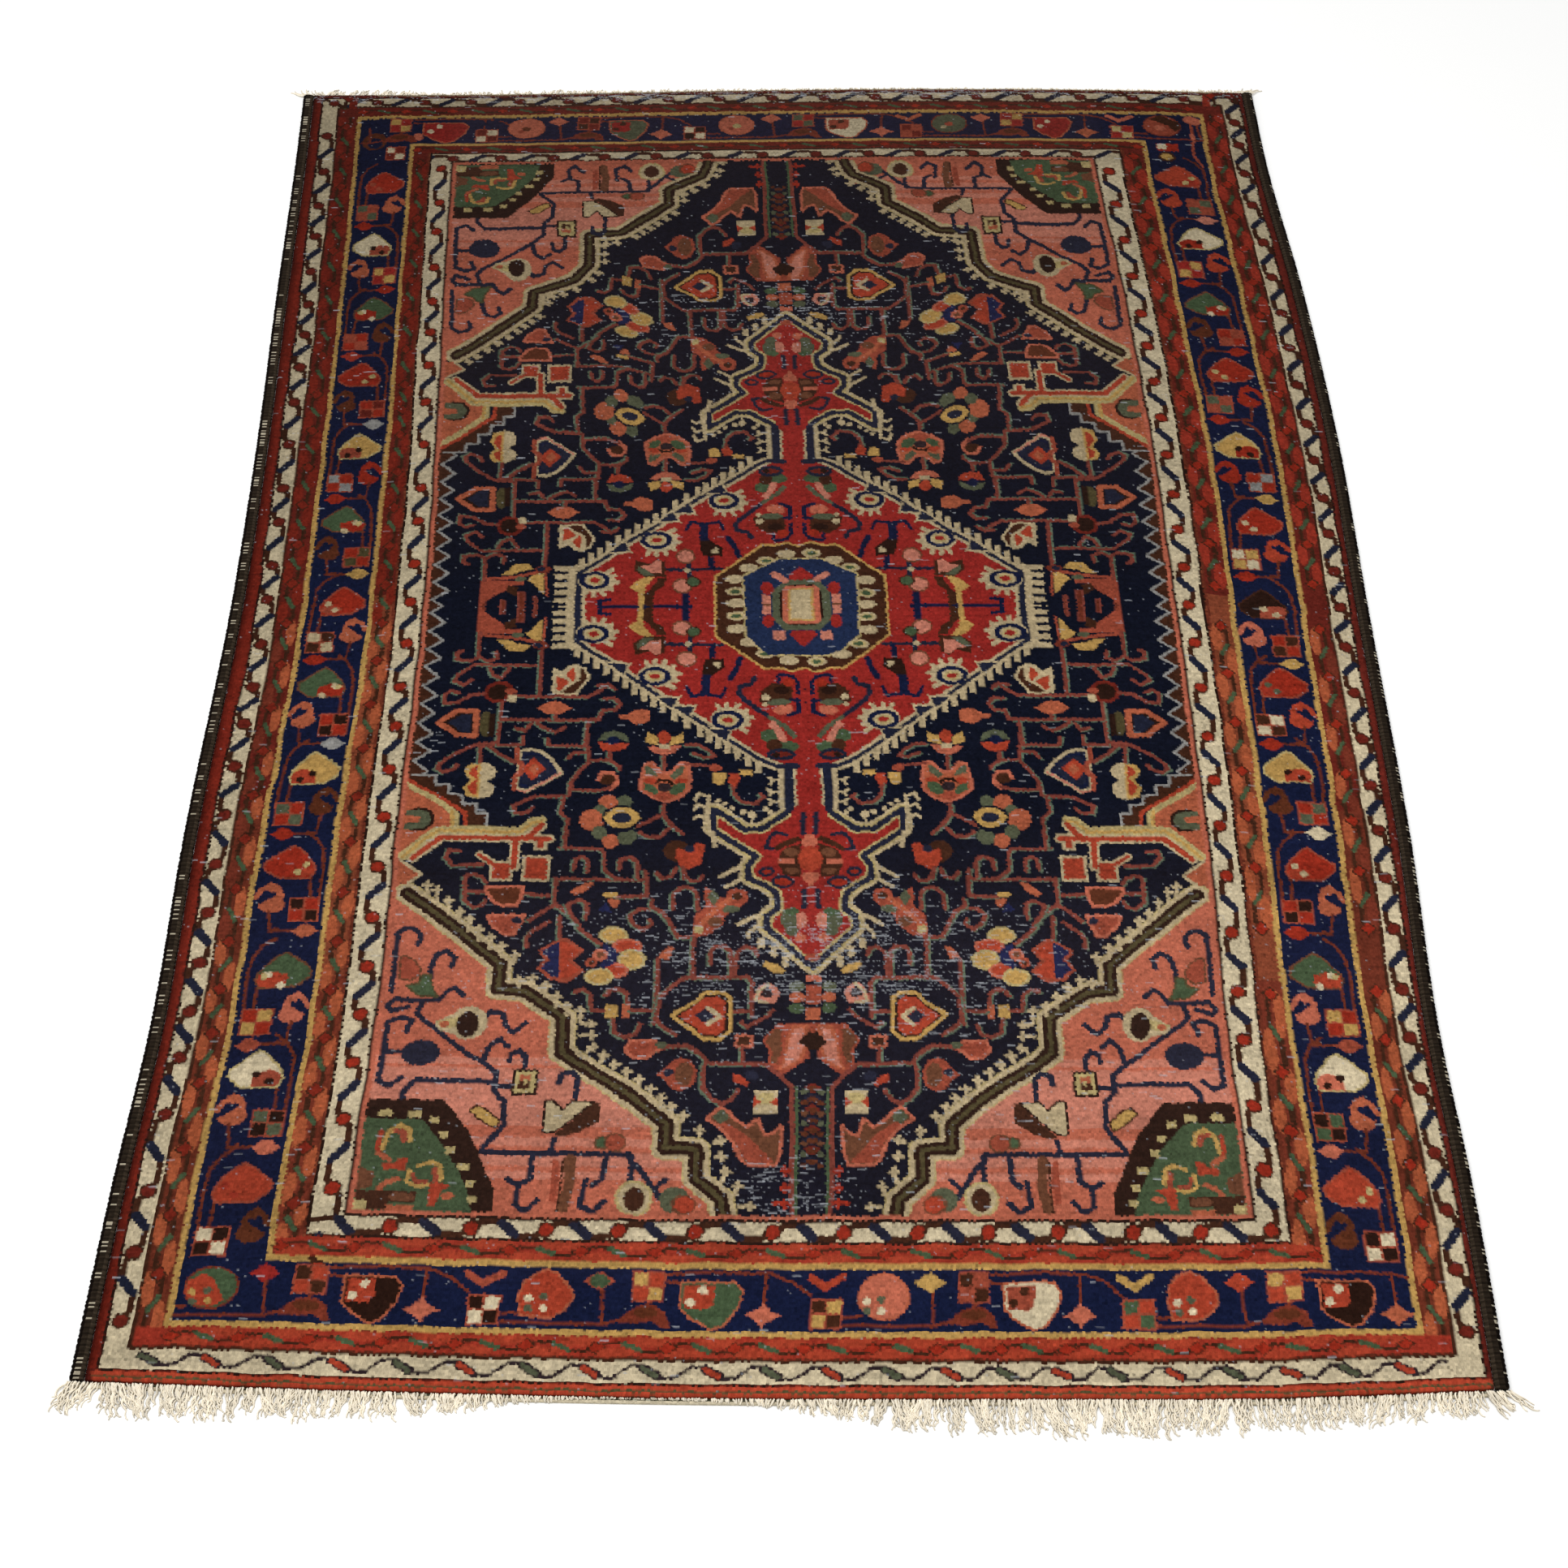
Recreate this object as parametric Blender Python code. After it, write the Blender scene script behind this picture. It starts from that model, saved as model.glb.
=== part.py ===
"""A hand-knotted village rug with a hexagon medallion, lying flat on the floor.

It has five pieces: the knotted cloth, the overcast cord down each long edge, and at each end
a narrow woven strip whose warp ends hang out of it as a fringe. X runs across the rug, Y along
it and Z up. The floor is z = 0, and the origin is under the middle of the whole rug.
"""

import math
import random

import bmesh
import bpy
import numpy as np

# Driving dimensions, in metres.
RUG_WIDTH = 1.32  # over both edge cords
PILE_LENGTH = 1.99  # between the two woven strips
CLOTH_THICKNESS = 0.007  # foundation and pile together
CLOTH_SHOULDER = 0.0015  # the worn rim of the pile
CORD_WIDTH = 0.015
CORD_THICKNESS = 0.0078
STRIP_WIDTH = 0.0055
STRIP_THICKNESS = 0.0025
GAP = 0.0003  # between neighbouring pieces

# Where the middle of the pile lies, so that the whole rug with its fringes is centred on the origin.
PILE_MIDDLE_X = 0.001
PILE_MIDDLE_Y = 0.019

# How far the long edges wander from straight, towards +X.
# Columns: along the rug (Y), left edge, right edge.
SIDE_WANDER = [
    (-0.995, -0.007, -0.005),
    (-0.770, 0.001, -0.001),
    (-0.600, 0.010, -0.003),
    (-0.350, 0.010, 0.008),
    (0.000, 0.018, 0.014),
    (0.280, 0.015, 0.020),
    (0.560, 0.007, 0.015),
    (0.840, 0.001, 0.001),
    (0.995, -0.004, 0.000),
]

# How far the ends wander from straight, towards +Y.
# Columns: across the rug (X), near end, far end.
END_WANDER = [
    (-0.66, 0.008, -0.016),
    (-0.42, -0.002, -0.013),
    (-0.10, -0.011, -0.003),
    (0.20, -0.013, 0.004),
    (0.45, -0.013, 0.003),
    (0.66, -0.005, -0.003),
]

# How far the fringe reaches past the woven strip.
# Columns: across the rug (X), near end, far end.
FRINGE_REACH = [
    (-0.66, 0.027, 0.018),
    (-0.56, 0.032, 0.016),
    (-0.44, 0.026, 0.011),
    (-0.34, 0.022, 0.014),
    (-0.25, 0.007, 0.011),
    (-0.04, 0.005, 0.009),
    (0.02, 0.012, 0.008),
    (0.10, 0.027, 0.008),
    (0.24, 0.034, 0.007),
    (0.42, 0.031, 0.006),
    (0.58, 0.024, 0.009),
    (0.66, 0.021, 0.014),
]

# The fringe's locks: flat bundles of warp ends, each with a foot on the strip.
LOCKS = 120  # at each end
LOCK_ROOT_WIDTH = 0.0052
LOCK_TIP_WIDTH = 0.0030
LOCK_TIP_THICKNESS = 0.0015
LOCK_STEPS = 3
LOCK_SWAY = 0.0022  # how far the locks drift together from side to side
LOCK_SWAY_PITCH = 0.21  # from one drift to the next
CORNER_LOCKS = 5  # the locks that splay past each corner
CORNER_SPLAY = 0.022

# How finely the edges are cut into straight runs.
SIDE_STEPS = 40
END_STEPS = 26


def smooth_curve(table, column, at):
    """The value of one column of a table at a place, on a cubic curve through the table's rows.

    A row's slope comes from the rows on either side of it.
    """
    places = np.array([row[0] for row in table])
    values = np.array([row[column] for row in table])
    slopes = np.gradient(values, places)
    at = min(max(at, places[0]), places[-1])
    i = min(int(np.searchsorted(places, at, side="right")) - 1, len(places) - 2)
    span = places[i + 1] - places[i]
    t = (at - places[i]) / span
    return (
        values[i] * (2 * t**3 - 3 * t**2 + 1)
        + values[i + 1] * (3 * t**2 - 2 * t**3)
        + slopes[i] * span * (t**3 - 2 * t**2 + t)
        + slopes[i + 1] * span * (t**3 - t**2)
    )


def on_rug(u, v, inward=0.0, outward=0.0):
    """The point of the floor at share u across and share v along the rug, each from -1 to 1.

    The straight rectangle is bent so that its edges follow the two wander tables. inward draws
    the point in from the long edges, and outward pushes it past the ends, both in metres.
    """
    x = u * (RUG_WIDTH / 2 - inward)
    y = v * (PILE_LENGTH / 2 + outward)
    left = smooth_curve(SIDE_WANDER, 1, v * PILE_LENGTH / 2)
    right = smooth_curve(SIDE_WANDER, 2, v * PILE_LENGTH / 2)
    near = smooth_curve(END_WANDER, 1, u * RUG_WIDTH / 2)
    far = smooth_curve(END_WANDER, 2, u * RUG_WIDTH / 2)
    x += (left * (1 - u) + right * (1 + u)) / 2
    y += (near * (1 - v) + far * (1 + v)) / 2
    return PILE_MIDDLE_X + x, PILE_MIDDLE_Y + y


def steps(count):
    """Shares from -1 to 1 in even steps."""
    return [-1 + 2 * i / count for i in range(count + 1)]


def material(name, colour, roughness):
    made = bpy.data.materials.new(name)
    made.use_nodes = True
    shader = made.node_tree.nodes["Principled BSDF"]
    shader.inputs["Base Color"].default_value = (*colour, 1.0)
    shader.inputs["Roughness"].default_value = roughness
    shader.inputs["Metallic"].default_value = 0.0
    return made


def piece(name, mesh, finish, parent):
    """Closes bmesh work into a named object that stands on the rug's own empty."""
    bmesh.ops.recalc_face_normals(mesh, faces=mesh.faces)
    data = bpy.data.meshes.new(name)
    mesh.to_mesh(data)
    mesh.free()
    data.materials.append(finish)
    made = bpy.data.objects.new(name, data)
    bpy.context.scene.collection.objects.link(made)
    made.parent = parent
    return made


def knotted_cloth(finish, parent):
    """The pile and its foundation: the wandering outline, raised to its thickness.

    Its top rim is bevelled, and its underside is flat on the floor.
    """
    inward = CORD_WIDTH + GAP
    outline = [on_rug(u, -1, inward) for u in steps(END_STEPS)[:-1]]
    outline += [on_rug(1, v, inward) for v in steps(SIDE_STEPS)[:-1]]
    outline += [on_rug(-u, 1, inward) for u in steps(END_STEPS)[:-1]]
    outline += [on_rug(-1, -v, inward) for v in steps(SIDE_STEPS)[:-1]]
    mesh = bmesh.new()
    underside = mesh.faces.new([mesh.verts.new((x, y, 0)) for x, y in outline])
    raised = bmesh.ops.extrude_face_region(mesh, geom=[underside], use_keep_orig=True)["geom"]
    top = [part for part in raised if isinstance(part, bmesh.types.BMVert)]
    bmesh.ops.translate(mesh, verts=top, vec=(0, 0, CLOTH_THICKNESS))
    rim = [edge for edge in mesh.edges if all(vert in top for vert in edge.verts)]
    bmesh.ops.bevel(mesh, geom=rim, offset=CLOTH_SHOULDER, segments=1, affect="EDGES")
    return piece("knotted_cloth", mesh, finish, parent)


def edge_cord(name, side, finish, parent):
    """The overcast cord of one long edge: a low rounded bar that follows the edge.

    side is -1 for the left edge and 1 for the right. Its inner face stands a gap off the cloth.
    """
    profile = [
        (0.0, 0.0),
        (1.0, 0.0),
        (1.0, 0.62),
        (0.8, 0.92),
        (0.5, 1.0),
        (0.2, 0.92),
        (0.0, 0.55),
    ]
    mesh = bmesh.new()
    rings = []
    for v in steps(SIDE_STEPS):
        ring = []
        for across, up in profile:
            x, y = on_rug(side, v, CORD_WIDTH * across)
            ring.append(mesh.verts.new((x, y, CORD_THICKNESS * up)))
        rings.append(ring)
    for ring, following in zip(rings, rings[1:]):
        for i in range(len(profile)):
            j = (i + 1) % len(profile)
            mesh.faces.new((ring[i], ring[j], following[j], following[i]))
    mesh.faces.new(rings[0])
    mesh.faces.new(rings[-1])
    return piece(name, mesh, finish, parent)


def lock_centre(place, end, share, reach, drift):
    """The floor point of a lock's middle line, at a share of its reach.

    The lock leaves the strip squarely, drifts to one side, and splays near a corner.
    """
    u = place / (RUG_WIDTH / 2)
    x, y = on_rug(u, end, outward=GAP + STRIP_WIDTH)
    lane = RUG_WIDTH / LOCKS
    from_corner = (RUG_WIDTH / 2 - abs(place)) / lane
    splay = CORNER_SPLAY * max(0.0, 1 - from_corner / CORNER_LOCKS) ** 1.5
    sideways = drift * share**1.5 + math.copysign(splay, place) * share
    return x + sideways, y + end * reach * share


def fringe(name, end, column, seed, finish, parent):
    """The woven strip of one end with its locks of warp ends, all one body.

    The strip is a flat bar along the end, a gap off the cloth. Each lock grows out of its own
    face of the strip's outer side as a tapering bar of four sides, with its underside on the
    floor. end is -1 for the near end and 1 for the far one.
    """
    rng = random.Random(seed)
    lane = RUG_WIDTH / LOCKS
    mesh = bmesh.new()

    def section(place):
        """The strip's four corners at a place across the rug: inner and outer, low and high."""
        u = place / (RUG_WIDTH / 2)
        corners = []
        for outward in (GAP, GAP + STRIP_WIDTH):
            x, y = on_rug(u, end, outward=outward)
            corners.append(mesh.verts.new((x, y, 0)))
            corners.append(mesh.verts.new((x, y, STRIP_THICKNESS)))
        return corners

    def join(first, second, outer_side):
        inner_low, inner_high, outer_low, outer_high = first
        next_inner_low, next_inner_high, next_outer_low, next_outer_high = second
        mesh.faces.new((inner_low, next_inner_low, next_inner_high, inner_high))
        mesh.faces.new((inner_low, outer_low, next_outer_low, next_inner_low))
        mesh.faces.new((inner_high, next_inner_high, next_outer_high, outer_high))
        if outer_side:
            mesh.faces.new((outer_low, outer_high, next_outer_high, next_outer_low))

    first = section(-RUG_WIDTH / 2)
    mesh.faces.new(first[:2] + first[:1:-1])
    previous = first
    for i in range(LOCKS):
        place = -RUG_WIDTH / 2 + lane * (i + 0.5)
        left = section(place - LOCK_ROOT_WIDTH / 2)
        right = section(place + LOCK_ROOT_WIDTH / 2)
        join(previous, left, outer_side=True)
        join(left, right, outer_side=False)
        reach = smooth_curve(FRINGE_REACH, column, place) * rng.uniform(0.8, 1.1)
        drift = LOCK_SWAY * math.sin(2 * math.pi * place / LOCK_SWAY_PITCH) + rng.uniform(-1, 1) * 0.0008
        ring = [left[2], left[3], right[3], right[2]]
        for step in range(1, LOCK_STEPS + 1):
            share = step / LOCK_STEPS
            x, y = lock_centre(place, end, share, reach, drift)
            half = (LOCK_ROOT_WIDTH + (LOCK_TIP_WIDTH - LOCK_ROOT_WIDTH) * share) / 2
            height = STRIP_THICKNESS + (LOCK_TIP_THICKNESS - STRIP_THICKNESS) * share
            corners = [(-half, 0), (-half, height), (half, height), (half, 0)]
            outer = [mesh.verts.new((x + sideways, y, z)) for sideways, z in corners]
            for j in range(4):
                k = (j + 1) % 4
                mesh.faces.new((ring[j], ring[k], outer[k], outer[j]))
            ring = outer
        mesh.faces.new(ring)
        previous = right
    last = section(RUG_WIDTH / 2)
    join(previous, last, outer_side=True)
    mesh.faces.new(last[:2] + last[:1:-1])
    return piece(name, mesh, finish, parent)


def main():
    for old in list(bpy.data.objects):
        bpy.data.objects.remove(old)
    rug = bpy.data.objects.new("rug", None)
    bpy.context.scene.collection.objects.link(rug)

    wool = material("knotted_wool", (0.18, 0.035, 0.025), 0.95)
    dark_wool = material("dark_overcast_wool", (0.022, 0.016, 0.012), 0.9)
    cotton = material("natural_cotton", (0.66, 0.59, 0.46), 0.92)

    knotted_cloth(wool, rug)
    edge_cord("edge_cord_left", -1, dark_wool, rug)
    edge_cord("edge_cord_right", 1, dark_wool, rug)
    fringe("fringe_near", -1, 1, 11, cotton, rug)
    fringe("fringe_far", 1, 2, 12, cotton, rug)


main()
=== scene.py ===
"""The looks of a hand-knotted village rug with a hexagon medallion, lying flat on a pale floor.

The rug's pattern is a chart of knots. The chart is drawn first, mark by mark, in millimetres
from the middle of the rug. Then the pile is built as one small face for each knot, bent to the
rug's own outline, and each face takes its colours from the chart. The back, the overcast edges,
the woven ends and the fringe follow. Metres, X across the rug, Y along it, Z up, floor at z = 0.
"""

import math

import bpy
import numpy as np
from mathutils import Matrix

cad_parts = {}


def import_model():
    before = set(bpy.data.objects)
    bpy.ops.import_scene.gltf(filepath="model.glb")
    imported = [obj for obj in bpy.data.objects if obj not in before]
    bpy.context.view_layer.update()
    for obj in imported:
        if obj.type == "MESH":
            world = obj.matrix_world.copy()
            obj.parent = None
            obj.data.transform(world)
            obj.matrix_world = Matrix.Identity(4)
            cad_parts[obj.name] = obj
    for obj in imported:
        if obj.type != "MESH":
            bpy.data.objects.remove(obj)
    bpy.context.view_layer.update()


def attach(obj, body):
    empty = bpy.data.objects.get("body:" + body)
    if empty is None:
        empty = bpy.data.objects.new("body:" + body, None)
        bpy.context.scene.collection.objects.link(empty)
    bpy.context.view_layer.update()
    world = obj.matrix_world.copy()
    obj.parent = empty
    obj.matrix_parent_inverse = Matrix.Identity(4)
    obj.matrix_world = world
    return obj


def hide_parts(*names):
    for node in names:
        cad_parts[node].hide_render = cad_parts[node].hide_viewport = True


# The rug's sizes, in metres, as its solids have them.
RUG_WIDTH = 1.32
PILE_LENGTH = 1.99
CLOTH_THICKNESS = 0.007
CORD_WIDTH = 0.015
CORD_THICKNESS = 0.0078
STRIP_WIDTH = 0.0055
STRIP_THICKNESS = 0.0025
GAP = 0.0003
PILE_MIDDLE_X = 0.001
PILE_MIDDLE_Y = 0.019

# How far the long edges wander from straight, towards +X.
# Columns: along the rug (Y), left edge, right edge.
SIDE_WANDER = [
    (-0.995, -0.007, -0.005),
    (-0.770, 0.001, -0.001),
    (-0.600, 0.010, -0.003),
    (-0.350, 0.010, 0.008),
    (0.000, 0.018, 0.014),
    (0.280, 0.015, 0.020),
    (0.560, 0.007, 0.015),
    (0.840, 0.001, 0.001),
    (0.995, -0.004, 0.000),
]

# How far the ends wander from straight, towards +Y.
# Columns: across the rug (X), near end, far end.
END_WANDER = [
    (-0.66, 0.008, -0.016),
    (-0.42, -0.002, -0.013),
    (-0.10, -0.011, -0.003),
    (0.20, -0.013, 0.004),
    (0.45, -0.013, 0.003),
    (0.66, -0.005, -0.003),
]

# How far the fringe reaches past the woven strip.
# Columns: across the rug (X), near end, far end.
FRINGE_REACH = [
    (-0.66, 0.027, 0.018),
    (-0.56, 0.032, 0.016),
    (-0.44, 0.026, 0.011),
    (-0.34, 0.022, 0.014),
    (-0.25, 0.007, 0.011),
    (-0.04, 0.005, 0.009),
    (0.02, 0.012, 0.008),
    (0.10, 0.027, 0.008),
    (0.24, 0.034, 0.007),
    (0.42, 0.031, 0.006),
    (0.58, 0.024, 0.009),
    (0.66, 0.021, 0.014),
]

# How far the drawing has slid across the rug, at places along it (Y), where the weaver let it
# lean: first on the rug's middle line, then beside the white inner guard.
MIDDLE_LEAN = [
    (-0.995, 0.017),
    (-0.520, 0.017),
    (-0.265, 0.010),
    (0.015, 0.000),
    (0.300, -0.009),
    (0.995, -0.008),
]
FRAME_LEAN = [
    (-0.995, 0.0060),
    (-0.500, 0.0055),
    (-0.300, 0.0035),
    (-0.100, 0.0010),
    (0.100, -0.0030),
    (0.300, -0.0060),
    (0.500, -0.0090),
    (0.800, -0.0110),
    (0.995, -0.0110),
]
FIELD_HALF_WIDTH = 0.44
DRAWING_RISE = 0.015  # how far the field's drawing has slid towards the far end

# How much of that slide is left, from the field out to the edge: shares at places across and along.
SLIDE_ACROSS = [(0.440, 1.0), (0.498, 0.50), (0.580, 0.15), (0.645, 0.0)]
SLIDE_ALONG = [(0.823, 1.0), (0.872, 0.57), (0.941, 0.33), (0.995, 0.0)]


# ---- The chart of knots ----

# The chart has two cells across and two along for each knot, so a knot can be of two colours
# where an edge runs through it. Places on the chart are millimetres from the rug's middle:
# s runs across the rug and t along it, towards the near end.
CHART_HALF_WIDTH = 645.0
CHART_HALF_LENGTH = 995.0
KNOTS_ACROSS = 470
KNOTS_ALONG = 724
CELLS_ACROSS = 2 * KNOTS_ACROSS
CELLS_ALONG = 2 * KNOTS_ALONG
PUSH = 0.7  # how far a knot strays from its place, at most

# Dye lots, as sRGB seen in plain daylight.
WOOL = {
    "midnight": (14, 17, 30),
    "indigo": (18, 24, 50),
    "slate": (30, 41, 69),
    "dusk": (29, 32, 48),
    "red": (138, 37, 32),
    "brick": (140, 40, 25),
    "wine": (100, 33, 24),
    "orange": (154, 58, 38),
    "rust": (142, 66, 48),
    "salmon": (172, 93, 71),
    "coral": (160, 84, 58),
    "rose": (180, 112, 93),
    "terracotta": (122, 61, 40),
    "madder": (108, 46, 32),
    "clay": (98, 43, 29),
    "ember": (142, 47, 33),
    "lobe": (158, 80, 50),
    "royal": (24, 31, 66),
    "yellow": (172, 136, 76),
    "straw": (166, 148, 100),
    "cream": (170, 152, 118),
    "ivory": (192, 177, 146),
    "green": (64, 80, 55),
    "sage": (78, 82, 62),
    "olive": (72, 64, 40),
    "dark": (38, 21, 15),
    "bark": (60, 33, 21),
    "umber": (98, 60, 41),
    "leaf": (84, 42, 25),
    "plum": (44, 33, 36),
    "stripe": (96, 33, 25),
    "russet": (116, 56, 46),
    "moss": (88, 102, 84),
    "fog": (132, 130, 126),
    "weft": (170, 174, 180),
    "garnet": (116, 36, 24),
}
DYES = list(WOOL)


class Pen:
    """Paints knots. It holds a view of the chart and the places of that view's columns and rows.

    Every mark is a test on whole arrays: a cell takes the colour where the test holds. Each knot's
    place is pushed about by up to PUSH, so that no edge is ruled. With ground given,
    marks take only on the knots that have that colour when the pen is made.
    """

    def __init__(self, cells, across, along, seed=0, ground=None):
        """Keeps the view and draws its pushes, each shared by three knots in a row or in a column."""
        self.cells = cells
        self.across = across
        self.along = along
        self.open = cells >= 0 if ground is None else cells == DYES.index(ground)
        dice = np.random.default_rng(seed)
        rows, columns = cells.shape
        by_row = dice.uniform(-PUSH, PUSH, (rows // 2 + 1, columns // 6 + 1))
        by_column = dice.uniform(-PUSH, PUSH, (rows // 6 + 1, columns // 2 + 1))
        self.push_s = by_row.repeat(2, 0).repeat(6, 1)[:rows, :columns]
        self.push_t = by_column.repeat(6, 0).repeat(2, 1)[:rows, :columns]

    def turned(self):
        """A pen on the same knots whose first place runs along the rug and whose second runs across."""
        pen = Pen(self.cells.T, self.along, self.across)
        pen.open, pen.push_s, pen.push_t = self.open.T, self.push_t.T, self.push_s.T
        return pen

    def _window(self, low_s, high_s, low_t, high_t):
        """The slice of the chart round a mark, and the pushed places of its knots."""
        columns = slice(*np.searchsorted(self.across, (low_s - 3, high_s + 3)))
        rows = slice(*np.searchsorted(self.along, (low_t - 3, high_t + 3)))
        s = self.across[None, columns] + self.push_s[rows, columns]
        t = self.along[rows, None] + self.push_t[rows, columns]
        return (rows, columns), s, t

    def _dye(self, window, colour, test):
        """Gives the cells of a window where the test holds their colour, if the pen may paint there."""
        part = self.cells[window]
        part[test & self.open[window]] = DYES.index(colour)

    def block(self, colour, s0, s1, t0, t1):
        """A rectangle between two places across and two places along."""
        window, s, t = self._window(s0, s1, t0, t1)
        self._dye(window, colour, (s > s0) & (s < s1) & (t > t0) & (t < t1))

    def oval(self, colour, s0, t0, reach_s, reach_t=None):
        """An ellipse: the squares of the two distances over their reaches sum to less than one."""
        reach_t = reach_t or reach_s
        window, s, t = self._window(s0 - reach_s, s0 + reach_s, t0 - reach_t, t0 + reach_t)
        self._dye(window, colour, ((s - s0) / reach_s) ** 2 + ((t - t0) / reach_t) ** 2 < 1)

    def diamond(self, colour, s0, t0, reach_s, reach_t=None):
        """A lozenge: the two distances over their reaches sum to less than one."""
        reach_t = reach_t or reach_s
        window, s, t = self._window(s0 - reach_s, s0 + reach_s, t0 - reach_t, t0 + reach_t)
        self._dye(window, colour, np.abs(s - s0) / reach_s + np.abs(t - t0) / reach_t < 1)

    def shape(self, colour, *corners):
        """A filled outline: a knot is inside where a ray to its right crosses an odd count of edges."""
        corners = np.array(corners, float)
        window, s, t = self._window(*corners[:, 0][[corners[:, 0].argmin(), corners[:, 0].argmax()]],
                                    *corners[:, 1][[corners[:, 1].argmin(), corners[:, 1].argmax()]])
        inside = np.zeros(s.shape, bool)
        for (s0, t0), (s1, t1) in zip(corners, np.roll(corners, -1, 0)):
            if t0 != t1:
                crossing = s0 + (t - t0) * (s1 - s0) / (t1 - t0)
                inside ^= ((t0 > t) != (t1 > t)) & (s < crossing)
        self._dye(window, colour, inside)

    def stroke(self, colour, width, *points):
        """A line of one width: a knot takes it where the nearest piece of the line is within half of that."""
        points = np.array(points, float)
        reach = width / 2
        low, high = points.min(0) - reach, points.max(0) + reach
        window, s, t = self._window(low[0], high[0], low[1], high[1])
        near = np.zeros(s.shape, bool)
        for (s0, t0), (s1, t1) in zip(points[:-1], points[1:]):
            length2 = max((s1 - s0) ** 2 + (t1 - t0) ** 2, 1e-9)
            along = np.clip(((s - s0) * (s1 - s0) + (t - t0) * (t1 - t0)) / length2, 0, 1)
            near |= (s - s0 - along * (s1 - s0)) ** 2 + (t - t0 - along * (t1 - t0)) ** 2 < reach**2
        self._dye(window, colour, near)


def vine(pen, *points):
    """A stem on the navy field: a russet line with a mossy one along its side."""
    pen.stroke("moss", 4.0, *[(s + 2.4, t + 1.4) for s, t in points])
    pen.stroke("russet", 4.6, *points)


def framed(pen, line, reach, fill, *corners):
    """A filled outline with a line of another colour along it, half inside and half outside."""
    pen.stroke(line, 2 * reach, *corners, corners[0])
    pen.shape(fill, *corners)
    pen.stroke(line, reach, *corners, corners[0])


def ring(pen, line, fill, s, t, reach, rim=4, reach_t=None):
    """An oval inside a rim of another colour."""
    reach_t = reach_t or reach
    pen.oval(line, s, t, reach, reach_t)
    pen.oval(fill, s, t, reach - rim, reach_t - rim)


def blank_chart():
    """The empty chart and the places of its columns and rows."""
    across = (np.arange(CELLS_ACROSS) + 0.5) / CELLS_ACROSS * 2 - 1
    along = (np.arange(CELLS_ALONG) + 0.5) / CELLS_ALONG * 2 - 1
    cells = np.zeros((CELLS_ALONG, CELLS_ACROSS), np.int8)
    return cells, across * CHART_HALF_WIDTH, along * CHART_HALF_LENGTH


# ---- The border ----

# The nested frames of the rug, from the outside in.
# Columns: colour, how far the frame reaches across, how far it reaches along.
FRAMES = [
    ("stripe", 645, 995),
    ("dark", 636, 986),
    ("ivory", 633.5, 984),
    ("bark", 612, 964),
    ("clay", 608, 961),
    ("yellow", 583, 941),
    ("indigo", 577, 935),
    ("yellow", 502, 873),
    ("terracotta", 496, 867),
    ("dark", 470, 849),
    ("ivory", 467, 846),
    ("dark", 438, 828),
    ("salmon", 435, 825),
    ("midnight", 430, 821),
]

# Where the red dots of the white guards stand along the right and the left side. On the outer
# guard of the left side the line changes its lean at the dot where the second list begins.
INNER_SIDE_DOTS = {
    "right": (-797, -727, -651, -577, -503, -440, -372, -306, -240, -172, -112, -49, 12, 72, 141, 214, 277,
              340, 408, 483, 558, 618, 696, 770, 836),
    "left": (-813, -737, -676, -602, -533, -472, -409, -340, -262, -184, -127, -56, 6, 73, 140, 199, 262, 330,
             399, 467, 531, 591, 650, 718, 797, 880),
}
OUTER_SIDE_DOTS = {
    "right": ((), (-985, -923, -873, -810, -741, -662, -591, -519, -451, -381, -310, -245, -178, -117, -54, 4,
                   67, 137, 206, 273, 337, 403, 470, 547, 606, 668, 743, 807, 872, 938)),
    "left": ((-898, -818, -744, -678, -604, -538, -479, -416, -350, -273, -194, -136, -62, -7, 64, 130, 187,
              250, 319), (319, 387, 453, 519, 581, 637, 705, 794, 862, 935)),
}

# Where the dots of the white guards stand across each end.
INNER_NEAR_DOTS = (-478, -391, -316, -246, -179, -107, -35, 34, 106, 175, 243, 316, 383, 452)
INNER_FAR_DOTS = (-510, -437, -372, -302, -233, -163, -93, -20, 53, 126, 196, 269, 341, 412, 486)
OUTER_FAR_DOTS = (-690, -617, -557, -490, -426, -359, -291, -225, -153, -83, -10, 62, 134, 205, 275, 347, 419,
                  489, 560, 632)

# Where the red lozenges of the red guards stand.
INNER_SIDE_LOZENGES = {
    "right": (-835, -770, -705, -640, -572, -503, -428, -355, -290, -225, -159, -92, -22, 42, 115, 188, 259,
              324, 394, 474, 557, 653, 722, 794, 858),
    "left": (-828, -768, -708, -648, -580, -511, -443, -375, -329, -283, -217, -155, -90, -25, 38, 97, 163,
             228, 298, 362, 430, 495, 557, 618, 680, 747, 810, 858),
}
OUTER_SIDE_LOZENGES = {
    "right": (-985, -918, -850, -783, -715, -648, -580, -513, -438, -364, -296, -230, -165, -98, -33, 40, 114,
              185, 257, 324, 393, 469, 549, 610, 683, 757, 822, 890, 950),
    "left": (-985, -918, -850, -783, -715, -648, -580, -513, -438, -364, -296, -230, -165, -98, -33, 32, 97,
             163, 228, 292, 353, 421, 490, 552, 608, 668, 745, 820, 885, 950),
}
INNER_END_LOZENGES = (-490, -421, -348, -276, -210, -140, -65, 8, 78, 148, 217, 288, 358, 425, 490)
OUTER_END_LOZENGES = (-575, -514, -448, -380, -314, -249, -183, -119, -57, 7, 70, 131, 191, 251, 312, 373,
                      434, 498, 564)

# Where the wave of the near end's white guard falls, each time through a coloured lozenge.
NEAR_WAVE = (-592, -535, -477, -417, -358, -302, -243, -187, -133, -75, -22, 35, 90, 144, 195, 246, 298,
             351, 405, 458, 508, 560, 608)

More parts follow.
